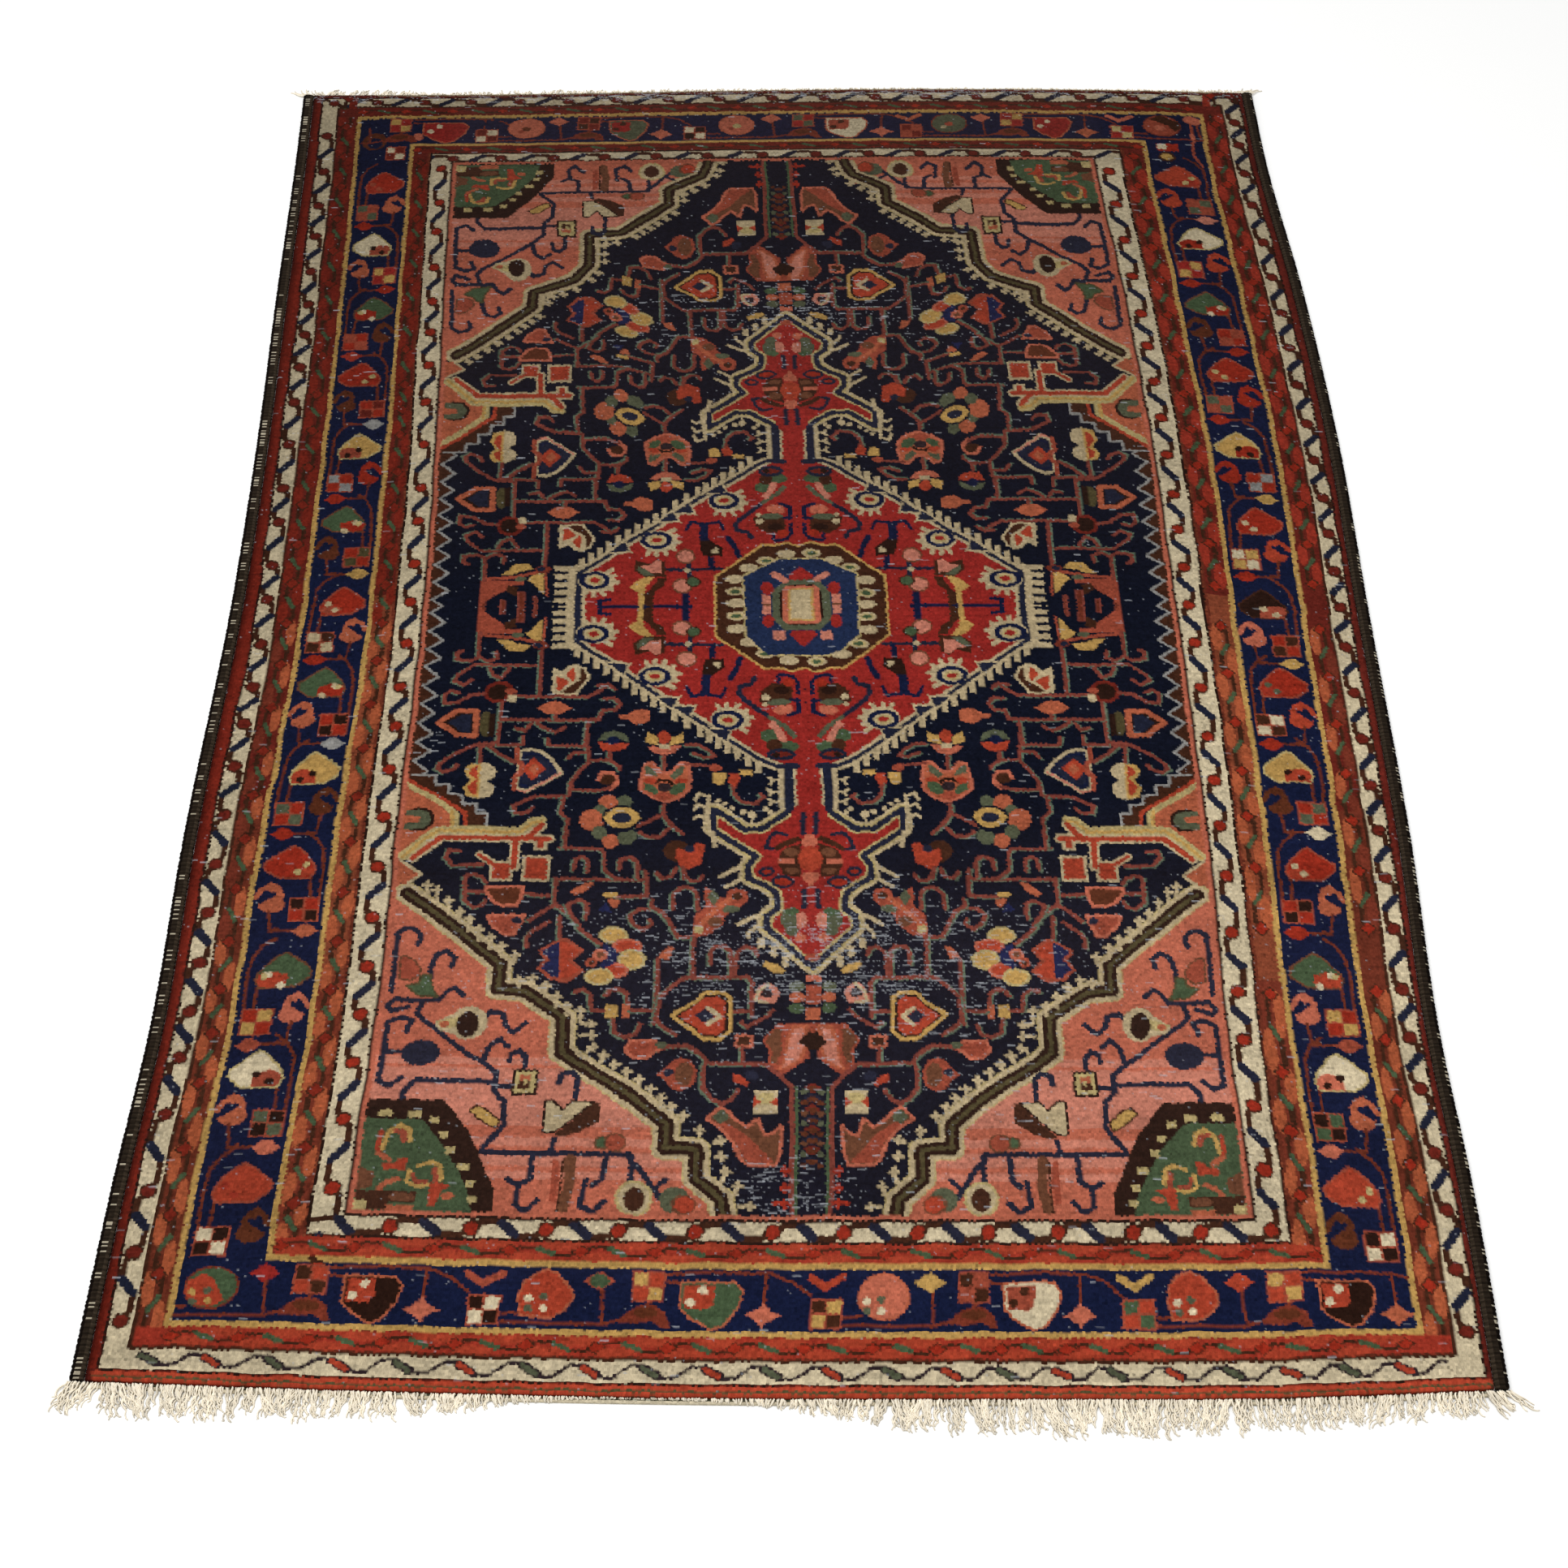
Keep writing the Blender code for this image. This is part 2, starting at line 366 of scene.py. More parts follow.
# The flowers of the blue border along each side. Columns: place along, side the flower leans to, and
# the colours of its petals, heart and spots, of the box under it (two), its curled leaf and its bud.
RIGHT_FLOWERS = [
    (-795, -1, "orange ember straw rust sage orange rose"),
    (-662, 1, "ivory brick dark red yellow orange brick"),
    (-530, -1, "green brick ivory brick rust leaf brick"),
    (-402, 1, "brick orange straw sage rust brick brick"),
    (-264, -1, "yellow brick dark brick fog brick yellow"),
    (-132, 1, "brick brick cream ivory yellow orange brick"),
    (5, -1, "dark rust cream brick bark salmon yellow"),
    (127, 1, "brick ember sage bark ivory orange brick"),
    (252, -1, "yellow orange dark brick sage leaf ivory"),
    (387, 1, "brick orange cream brick dark coral brick"),
    (527, -1, "green orange ivory yellow brick salmon rust"),
    (652, 1, "ivory salmon dark dark green coral salmon"),
    (785, -1, "orange orange straw dark ivory leaf indigo"),
]
LEFT_FLOWERS = [
    (-788, -1, "brick ember rust rust sage coral brick"),
    (-655, 1, "ivory rust dark red yellow coral brick"),
    (-525, -1, "green brick ivory brick rust leaf ember"),
    (-396, 1, "brick brick straw stripe brick leaf fog"),
    (-264, -1, "yellow rust dark brick fog brick brick"),
    (-136, 1, "green brick cream olive brick leaf yellow"),
    (0, -1, "brick rust cream bark cream coral brick"),
    (128, 1, "green brick cream dark brick coral fog"),
    (256, -1, "yellow orange dark brick sage leaf brick"),
    (388, 1, "brick orange straw brick dark coral coral"),
    (531, -1, "green orange ivory yellow brick salmon rust"),
    (654, 1, "ivory rust dark dark sage coral salmon"),
    (787, -1, "orange orange ember dark ivory leaf indigo"),
]

# The pairs of flowers across an end. Columns: place of the first box, length of the pair, and in
# words the upright flower's colour, its form and its dots, its box's two colours, chevron, upper
# bud, the hanging flower and its heart, its box's two colours, lower bud.
NEAR_END_FLOWERS = [
    (-602, 310, "green round yellow indigo indigo indigo red dark orange bark orange salmon"),
    (-292, 317, "orange pointed ivory dark ivory rust green green orange yellow orange salmon"),
    (25, 295, "salmon round ivory bark yellow orange yellow ivory rust bark rust salmon"),
    (320, 295, "orange pointed ivory green orange yellow orange dark orange yellow orange coral"),
]
FAR_END_FLOWERS = [
    (-678, 339, "indigo round indigo indigo indigo indigo indigo red red yellow red indigo"),
    (-397, 292, "salmon round leaf stripe ivory indigo salmon sage red wine bark salmon"),
    (-114, 316, "salmon round straw ivory dark indigo salmon ivory rust sage red salmon"),
    (183, 297, "sage round rust wine rust coral salmon red red red yellow coral"),
    (473, 290, "rust round salmon straw red salmon salmon indigo indigo indigo indigo indigo"),
]
END_DROP = 1808  # carries the far end's border on to the near end's places
PAIR_LENGTH = 295  # of flowers across an end, where it isn't stretched
LAST_BUD = 780  # a side's last flower has no bud under it

# The middle lines of the flower border and of the patterned guards.
SIDE_FLOWERS = 539
SIDE_INNER_WHITE = 451.5
SIDE_INNER_RED = 483.5
SIDE_OUTER_RED = 597
SIDE_OUTER_WHITE = 623.5
END_INNER_RED = 858
END_OUTER_RED = 951
NEAR_INNER_WHITE = 837
FAR_INNER_WHITE = 834
FAR_OUTER_WHITE = 974


def dotted_guard(pen, middle, dots, lean, dot_colour):
    """A white guard: a dark line swings from one side of it to the other between red dots.

    It leaves each dot on the lean side, crosses on a navy dash half way, and comes to the next dot
    on the other side.
    """
    for here, there in zip(dots[:-1], dots[1:]):
        half = (here + there) / 2
        one, other = middle - 7 * lean, middle + 6.5 * lean
        pen.stroke("bark", 6.4, (middle, here + 4), (one, here + 9), (one, half - 9))
        pen.stroke("bark", 6.4, (other, half + 7), (other, there - 10), (middle + 3 * lean, there - 5))
        pen.stroke("dusk", 9.4, (one + lean, half - 8), (other - lean, half + 6))
    for dot in dots:
        pen.oval("bark", middle, dot, 8.4, 8.6)
        pen.oval(dot_colour, middle, dot, 6.4, 6.4)


def lozenge_guard(pen, middle, swing, marks, lean, upper, lower, line=4.6, lozenge="brick"):
    """A red guard: a dark line swings about its middle, through a red lozenge and then a green dash.

    A lobe of lighter wool fills each bend of the line, in one colour on each side.
    """
    for here, there in zip(marks[:-1], marks[1:]):
        half = (here + there) / 2
        one, other = middle - 0.8 * swing * lean, middle + 0.8 * swing * lean
        for side, spot in ((lean, (here + half) / 2), (-lean, (half + there) / 2)):
            lobe = upper if side > 0 else lower
            pen.oval(lobe, middle - 1.15 * swing * side, spot, 0.95 * swing, 0.3 * (there - here))
        pen.stroke("bark", line, (middle, here), (other, here + 9), (other, half - 7), (one, half + 7),
                   (one, there - 9), (middle, there))
        pen.stroke("green", 4.8, (other - lean, half - 8), (one + lean, half + 7))
    for mark in marks:
        pen.diamond("bark", middle, mark, 1.1 * swing + 0.5 * line, 8 + 0.6 * line)
        pen.diamond(lozenge, middle, mark, 1.1 * swing, 8)


def lozenge_wave(pen, marks, top, foot, lozenges):
    """The near end's white guard: a stepped dark wave with a coloured lozenge on each falling stroke."""
    for number, (mark, following) in enumerate(zip(marks[:-1], marks[1:])):
        step = following - mark
        pen.stroke("plum", 3.4, (top, mark - 8), (foot, mark + 9), (foot, mark + 0.42 * step),
                   (top, mark + 0.68 * step), (top, following - 8))
        pen.stroke("plum", 8.5, (top + 2, mark - 6), (foot - 2, mark + 8))
        pen.stroke(lozenges[number % 2], 5, (top + 2, mark - 6), (foot - 2, mark + 7))


def squares(pen, middle_s, middle_t, one, other, reach=15.5):
    """A small box of four squares in two colours, inside a salmon line."""
    pen.block("rust", middle_s - reach - 1, middle_s + reach + 1, middle_t - reach - 1, middle_t + reach + 1)
    for row in (0, 1):
        for column in (0, 1):
            s, t = middle_s + (column - 1) * reach, middle_t + (row - 1) * reach
            pen.block(one if row == column else other, s + 1, s + reach - 1, t + 1, t + reach - 1)


def side_flower(pen, t, lean, colours):
    """One flower of the side border, pointing to the far end, with what hangs under it."""
    petals, heart, spots, box_one, box_other, leaf, bud = colours.split()

    def at(*places):
        """Places on the chart, from how far they lie to the side that the flower leans to and along it."""
        return [(SIDE_FLOWERS + lean * s, t + along) for s, along in places]

    rim = {"ivory": "straw", "yellow": "straw", "green": "umber", "dark": "bark"}.get(petals, "rust")
    pen.stroke("clay", 3.4, *at((-9, -43), (-21, -33), (-29, -18), (-31, 12), (-31, 50)))
    pen.stroke("clay", 3.2, *at((-19, 20), (-21, 47)))
    outline = at((4, -24), (16, -15), (32, -1), (31, 8), (17, 19), (-18, 20), (-22, 10), (-20, 2), (-13, -8),
                 (-4, -19))
    framed(pen, rim, 1.6, petals, *outline)
    if petals in ("yellow", "ivory", "green", "dark"):
        pen.oval(heart, *at((-8, 10))[0], 13, 10)
        pen.shape(heart, *at((-20, 4), (8, 4), (8, 19), (-19, 19)))
        for place in at((-10, 4), (3, 18)) if petals == "green" else at((4, 5), (-10, 14)):
            pen.oval(spots, *place, 4.4)
        if petals == "green":
            pen.oval("straw", *at((-14, 6))[0], 4)
    else:
        pen.oval(heart, *at((-8, 12))[0], 13, 6)
        for place in at((-12, 2), (-3, 12)):
            pen.oval(spots, *place, 4.2)
    curled_leaf(pen, at, leaf)
    squares(pen, SIDE_FLOWERS - 16 * lean, t + 63, box_one, box_other)
    if t < LAST_BUD:
        pen.stroke("clay", 3.2, *at((21, 64), (18, 90), (9, 88)))
        pen.stroke("clay", 3.2, *at((18, 91), (-14, 90)))
        pen.oval(bud, *at((-19, 91))[0], 10, 8.5)
        pen.diamond(bud, *at((-19, 91))[0], 15, 9)


def curled_leaf(pen, at, colour):
    """A leaf that curls over at its tip, with its stem under it."""
    pen.oval(colour, *at((19, 55))[0], 13.5, 11)
    pen.shape(colour, *at((8, 55), (8, 40), (14, 30), (22, 27), (31, 33), (24, 36), (18, 44), (32, 54)))
    pen.stroke(colour, 6, *at((14, 34), (22, 29), (31, 37), (35, 46)))
    pen.stroke("indigo", 5.5, *at((18, 41), (24, 46), (30, 51)))


def end_flowers(pen, start, length, words):
    """A pair of flowers of the end border: one points up and the next hangs, with a box and bud by each."""
    upright, form, dots, *boxes, chevron, bud, hanging, heart, next_one, next_other, low_bud = words.split()

    def at(*places):
        """Places on the chart, from how far they lie from the first box in a pair of the usual length."""
        return [(start + s * length / PAIR_LENGTH, t) for s, t in places]

    for points in (((17, 929), (102, 929), (128, 921), (146, 903)), ((17, 920), (32, 920)),
                   ((99, 890), (102, 926)), ((156, 878), (205, 876), (245, 878), (262, 884), (280, 899)),
                   ((156, 885), (172, 888)), ((240, 879), (240, 914))):
        pen.stroke("madder", 3.0, *at(*points))
    pen.stroke(chevron, 7, *at((-17, 881), (-3, 891), (13, 880)))
    if form == "round":
        middle = at((53, 900))[0]
        pen.oval("coral" if upright == "salmon" else "madder", *middle, 25, 23.5)
        pen.oval(upright, *middle, 23, 21.5)
    else:
        outline = at((50, 876), (60, 880), (74, 895), (76, 904), (68, 917), (58, 923), (32, 922), (28, 904),
                     (31, 889), (40, 880))
        framed(pen, "coral", 1.5, upright, *outline)
    if upright == "green":
        pen.shape("orange", *at((33, 893), (44, 884), (54, 890), (60, 902), (66, 914), (52, 921), (38, 917),
                                (30, 906)))
    if dots in ("leaf", "straw", "rust"):
        pen.oval(dots, *at((53, 902))[0], 6, 5)
        pen.oval("cream" if upright == "sage" else "rust", *at((46, 908))[0], 4)
    elif upright == "rust":
        pen.shape("bark", *at((53, 876), (75, 890), (78, 904), (70, 912), (60, 898), (44, 890), (36, 886)))
        pen.oval(dots, *at((50, 905))[0], 7, 6)
    else:
        for place, spot in zip(at((37, 905), (50, 903), (38, 915), (51, 914)), (dots, "sage", "sage", dots)):
            pen.oval(spot, *place, 4)
    pen.diamond("rust" if bud == "green" else bud, *at((97, 886))[0], 15, 10)
    pen.oval(bud, *at((97, 886))[0], 9, 7)
    squares(pen, *at((0, 917))[0], *boxes, 14.5)
    squares(pen, *at((139, 891))[0], next_one, next_other, 14.5)
    if hanging != "indigo":
        pen.shape("madder", *at((116, 927), (122, 917), (132, 911), (146, 910), (156, 916), (162, 931),
                                (154, 932), (146, 926), (134, 929)))
        pen.oval("leaf", *at((139, 918))[0], 12, 5)
        outline = at((168, 886), (214, 886), (221, 895), (218, 911), (206, 929), (196, 933), (178, 922),
                     (169, 912))
        framed(pen, "coral", 1.5, hanging, *outline)
        pen.shape(heart, *at((171, 889), (197, 889), (197, 908), (192, 913), (172, 912)))
        for place in at((187, 894), (177, 906)):
            pen.oval("ivory" if heart == "orange" or hanging == "red" else "bark", *place, 4.4)
    pen.diamond(low_bud, *at((240, 919))[0], 17, 8)
    pen.diamond(low_bud, *at((240, 919))[0], 7, 14)
    pen.oval(low_bud, *at((240, 919))[0], 9.5, 8.5)


def paint_side_guards(pen, side):
    """The four patterned guards along one side. Their red is darker in the far half, and on the left."""
    red, deep = ("brick", "ember") if side == "right" else ("garnet", "garnet")
    pen.block("stripe", 470, 496, -866, -8)
    pen.block("stripe", 583, 609, -940, 310)
    pen.block("madder", 470, 496, 540, 866)
    pen.stroke("clay", 3, (471.5, -860), (471.5, 860))
    dotted_guard(pen, SIDE_INNER_WHITE, INNER_SIDE_DOTS[side], 1, "brick")
    for lean, dots in zip((1, -1), OUTER_SIDE_DOTS[side]):
        dotted_guard(pen, SIDE_OUTER_WHITE, dots, lean, "wine")
    inner_turning = 545 if side == "right" else 999  # on the left the line keeps its lean
    for middle, lozenges, colours, turning in (
        (SIDE_INNER_RED, INNER_SIDE_LOZENGES[side], (deep, deep, "lobe", "lobe"), inner_turning),
        (SIDE_OUTER_RED, OUTER_SIDE_LOZENGES[side], (deep, deep, "lobe", "madder"), 540),
    ):
        far = [place for place in lozenges if place < 40]
        near = [place for place in lozenges if -20 < place < turning]
        last = [place for place in lozenges if place > turning - 60]
        lozenge_guard(pen, middle, 6, far, 1, *colours[:2], lozenge=red)
        lozenge_guard(pen, middle, 6, near, 1, *colours[2:], lozenge=red)
        lozenge_guard(pen, middle, 6, last, -1, "lobe", "lobe", lozenge=red)


def paint_end_guards(near, far, near_white, far_white):
    """The four patterned guards across each end, and the lines that close them.

    The white guards have pens of their own, whose marks take on ivory alone.
    """
    for pen, base, lean, line, lobe in ((near, "ember", -1, 2.8, "orange"), (far, "stripe", 1, 3.6, "wine")):
        pen.block(base, -495, 495, 849, 867)
        pen.block(base, -608, 608, 941, 960)
        for middle, lozenges in ((END_INNER_RED, INNER_END_LOZENGES), (END_OUTER_RED, OUTER_END_LOZENGES)):
            lozenge_guard(pen.turned(), middle, 4.6, lozenges, lean, lobe, lobe, line)
    dotted_guard(near_white.turned(), NEAR_INNER_WHITE, INNER_NEAR_DOTS, 1, "brick")
    dotted_guard(far_white.turned(), FAR_INNER_WHITE, INNER_FAR_DOTS, 1, "wine")
    dotted_guard(far_white.turned(), FAR_OUTER_WHITE, OUTER_FAR_DOTS, 1, "wine")
    lozenge_wave(near_white.turned(), NEAR_WAVE, 968, 979, ("sage", "orange"))
    near.block("orange", -640, 640, 986, 990.5)
    near.block("olive", -640, 640, 990.5, 992.6)
    far.block("cream", -560, 600, 991, 995)


def corner_marks(pen):
    """What stands in the two far corners in place of a flower: boxes, buds and a stem."""
    pen.block("brick", 514, 543, -868, -851)
    pen.block("ivory", 515, 527, -867, -855)
    pen.oval("bark", 526, -839, 11, 10)
    pen.oval("yellow", 526, -839, 7.5, 6.5)
    pen.stroke("rust", 3.6, (563, -925), (564, -880), (562, -845), (570, -820))
    pen.stroke("salmon", 6, (563, -890), (564, -878))
    pen.oval("salmon", 563, -925, 9, 8)
    squares(pen, -523, -854, "ivory", "wine", 14)
    pen.oval("leaf", -555, -882, 17, 19)
    pen.oval("indigo", -554, -878, 10, 12)
    pen.oval("salmon", -491, -889, 7, 9)


# ---- The field ----

# The line down a quarter of the medallion's slope, from its side to the neck of the pendant.
SLOPE = [(258, 70), (225, 98), (203, 118), (160, 155), (120, 190), (90, 215), (45, 252)]

# The middle of the stepped band between the field and the corner.
CORNER_BAND = [
    (418, 435), (396, 453), (360, 485), (336, 508), (317, 527), (317, 558), (290, 560), (270, 576),
    (249, 592), (249, 634), (235, 646), (205, 666), (170, 692), (141, 718), (141, 746), (110, 748),
    (110, 780), (86, 804), (82, 828),
]
FAR_CORNER_BAND = [
    (418, 425), (396, 443), (360, 480), (322, 519), (322, 549), (285, 565), (268, 575), (251, 603),
    (251, 664), (209, 668), (180, 697), (145, 727), (145, 758), (102, 788), (93, 812), (90, 828),
]


def paint_medallion(pen):
    """The red hexagon with its serrated cream edge, the neck at its end and the pendant's outline."""
    pen.shape("red", (0, 0), (252, 0), (252, 72), *SLOPE[1:], (18, 262), (0, 318))
    for place in range(12, 86, 13):
        pen.block("cream", 268, 286, place - 4, place + 4)
    pen.stroke("cream", 22, (260, 0), (260, 72))
    for (s0, t0), (s1, t1) in zip(SLOPE[:-1], SLOPE[1:]):
        count = max(round((s0 - s1) / 11.5), 1)
        for step in range(count):
            s, t = s0 + (s1 - s0) * step / count - 2, t0 + (t1 - t0) * step / count
            pen.block("cream", s - 3.5, s + 3.5, t + 2, t + 24)
    pen.stroke("cream", 13, *SLOPE, (36, 257))
    pen.stroke("dusk", 8.5, (257.5, 0), (257.5, 70))
    pen.stroke("dusk", 5, *SLOPE, (36, 257))
    for s, t in ((208, 107), (151, 158), (132, 172), (93, 206)):
        pen.shape("cream", (s - 13, t - 5), (s + 16, t - 6), (s + 4, t + 6), (s - 6, t + 14), (s - 10, t + 2))
        pen.shape("dusk", (s - 9, t - 2), (s + 14, t - 3), (s + 2, t + 9), (s - 4, t + 13))
    pen.shape("cream", (8, 258), (38, 250), (32, 262), (32, 318), (12, 318), (12, 262))
    pen.block("dusk", 16, 26, 253, 320)
    pen.block("dusk", 8, 34, 254, 261)
    pen.block("red", -9, 13, 262, 322)


# The cream teeth round the octagon, from the left side over the far end and back round.
# Columns: place across, place along, green inside or not.
OCTAGON_TEETH = [
    (-76, 35, False), (-76, 15, True), (-76, -5, False), (-76, -24, True), (-76, -44, False),
    (-60, -62, False), (-39, -74, True), (-15, -85, False), (14, -86, True), (40, -75, False),
    (59, -62, True), (76, -41, False), (76, -21, True), (76, -3, False), (76, 17, True), (76, 38, False),
    (64, 60, True), (43, 76, False), (15, 86, True), (-17, 85, False), (-43, 74, True), (-61, 57, False),
]


def paint_octagon(pen):
    """The blue octagon in the middle of the medallion, in its brown and cream rings. Its middle is (0, 0)."""
    rim = [(-101, -48), (-45, -102), (-30, -101), (-14, -105), (0, -98), (14, -105), (30, -101), (45, -102),
           (101, -48), (101, 47), (45, 99), (30, 98), (14, 104), (0, 97), (-14, 104), (-30, 98), (-45, 99),
           (-101, 47)]
    for colour, share in (("yellow", 1.0), ("bark", 0.97)):
        pen.shape(colour, *[(s * share, t * share) for s, t in rim])
    blue = [(-65, -48), (-24, -76), (24, -76), (65, -51), (65, 47), (50, 62), (44, 70), (29, 76), (-40, 76),
            (-50, 65), (-65, 47)]
    pen.shape("straw", *[(s * 1.04, t * 1.035) for s, t in blue])
    for s, t, hollow in OCTAGON_TEETH:
        pen.oval("cream", s, t, 11, 7)
        if hollow:
            pen.oval("straw", s, t, 8, 5)
            pen.oval("green", s, t, 5.5, 3.2)
    pen.shape("slate", *blue)
    pen.shape("sage", (-34, -24), (-20, -42), (20, -42), (34, -24), (34, 20), (20, 38), (-20, 38), (-34, 20))
    pen.shape("dark", (-25, -22), (-15, -34), (15, -34), (25, -22), (25, 18), (15, 30), (-15, 30), (-25, 18))
    pen.shape("salmon", (-22, -27), (-17, -32), (17, -32), (22, -27), (22, 23), (17, 28), (-17, 28),
              (-22, 23))
    pen.block("yellow", -15, 15, -28.5, 23)
    pen.block("cream", -12, 12, -26, 20)
    pen.shape("red", (0, -64), (15, -48), (12, -42), (-12, -42), (-15, -48))
    pen.shape("red", (0, 65), (16, 45), (12, 39), (-12, 39), (-16, 45))
    for side in (-1, 1):
        pen.stroke("rose", 9, (30 * side, -51), (19 * side, -42))
        pen.block("rose", 27 * side - 7, 27 * side + 7, 39, 53)
        pen.block("rose", 41 * side - 5, 41 * side + 5, -19, 13)
        pen.block("umber", 41 * side - 5, 41 * side + 5, -4, -1)
        for t in (-29, 24):
            pen.oval("red", 39 * side, t, 7, 10)


def paint_pendant(pen):
    """The lamp that hangs from the end of the medallion, and the pocket between its shoulder and the neck."""
    outline = [(26, 326), (50, 345), (70, 345), (101, 318), (104, 345), (58, 383), (66, 396), (66, 411),
               (50, 421), (37, 432), (35, 441), (35, 452), (47, 463), (47, 478), (0, 529)]
    pen.stroke("cream", 18.5, *outline[3:])
    pen.stroke("cream", 17, *outline[:4])
    pen.shape("red", (0, 312), (13, 312), *outline)
    pen.stroke("straw", 12.5, *outline[:4], (101, 318))
    pen.stroke("straw", 12.5, *outline[3:])
    pen.stroke("dusk", 7, (20, 318), *outline)
    pen.stroke("dusk", 7, (101, 318), (103, 345))


def eye(pen, s, t):
    """An eye on the medallion's edge: rings of cream and navy round a red heart, with lashes inside."""
    for lean, drop in ((-27, -4), (-21, -15), (-12, -23), (0, -24), (11, -23), (-24, 7), (-21, 17)):
        pen.stroke("cream", 6, (s, t), (s + lean, t + drop))
    pen.oval("cream", s - 3, t - 2, 22, 17)
    pen.oval("indigo", s, t, 18, 14)
    pen.oval("cream", s, t, 12, 9)
    ring(pen, "straw", "red", s, t, 9, 3, 7)


def paint_medallion_vines(pen):
    """The leaves, vines and eyes on the red of the medallion."""
    pen.stroke("indigo", 6, (129, 15), (233, 15))
    pen.stroke("indigo", 5, (233, 15), (234, 25), (222, 27))
    pen.block("indigo", 130, 139, -9, 38)
    pen.stroke("dusk", 5, (92, 75), (160, 75))
    pen.block("indigo", 100, 107, 75, 96)
    pen.block("dusk", 126, 132, 60, 88)
    for s, t in ((138, 49), (133, 97)):
        pen.oval("umber", s, t, 12, 12)
        pen.oval("rose", s, t, 10, 9.5)
    pen.oval("bark", 125, 55, 9, 9)
    pen.oval("green", 125, 55, 7, 7)
    pen.oval("cream", 131, 74, 4, 3.5)
    pen.shape("dark", (90, 97), (112, 97), (116, 112), (117, 124), (104, 123), (90, 110))
    pen.shape("cream", (94, 103), (104, 101), (103, 107), (96, 112))
    pen.block("indigo", 107, 117, 122, 152)
    pen.stroke("indigo", 4.5, (88, 141), (94, 154), (112, 150), (127, 155), (133, 141))
    pen.shape("bark", (171, 15), (181, 18), (182, 36), (174, 44), (166, 60), (156, 62), (160, 48), (171, 38))
    pen.shape("yellow", (182, 14), (188, 17), (189, 38), (199, 46), (190, 56), (180, 62), (170, 62),
              (180, 49), (182, 34))
    pen.shape("bark", (157, 63), (180, 62), (193, 72), (192, 90), (176, 84), (166, 94), (158, 88))
    pen.shape("rose", (162, 68), (174, 70), (188, 82), (176, 82), (168, 92), (162, 88))
    pen.shape("sage", (170, 65), (182, 64), (190, 74), (189, 80), (180, 76))
    pen.stroke("indigo", 7, (72, 97), (76, 112), (84, 128))
    pen.stroke("dusk", 6, (56, 127), (60, 136), (72, 140), (74, 150), (68, 160), (55, 172), (38, 188))
    pen.stroke("indigo", 5, (28, 122), (14, 124), (8, 134), (8, 150))
    pen.stroke("indigo", 4, (30, 124), (30, 133))
    pen.stroke("indigo", 5, (18, 160), (8, 160), (8, 178), (20, 184))
    pen.shape("bark", (18, 134), (40, 136), (50, 146), (52, 162), (40, 166), (26, 170), (16, 158), (14, 146))
    pen.oval("dark", 27, 145, 9, 6)
    pen.oval("brick", 18, 134, 7, 6)
    pen.oval("sage", 30, 163, 13, 5)
    pen.oval("cream", 45, 155, 5, 4.5)
    pen.oval("cream", 46, 166, 3.5, 3)
    pen.shape("salmon", (14, 168), (30, 168), (38, 176), (30, 183), (16, 180))
    pen.stroke("sage", 6, (14, 214), (24, 200), (40, 186))
    pen.oval("green", 40, 212, 10, 9)
    pen.shape("rose", (22, 222), (24, 210), (36, 190), (42, 196), (34, 208), (30, 222))
    pen.oval("green", 22, 229, 12, 8)
    pen.oval("bark", 36, 226, 8, 9)
    ring(pen, "dusk", "wine", 29, 240, 16, 5, 9)
    pen.oval("dark", 34, 241, 4, 4)
    for s, t in ((168, 124), (87, 190), (240, 58)):
        eye(pen, s, t)


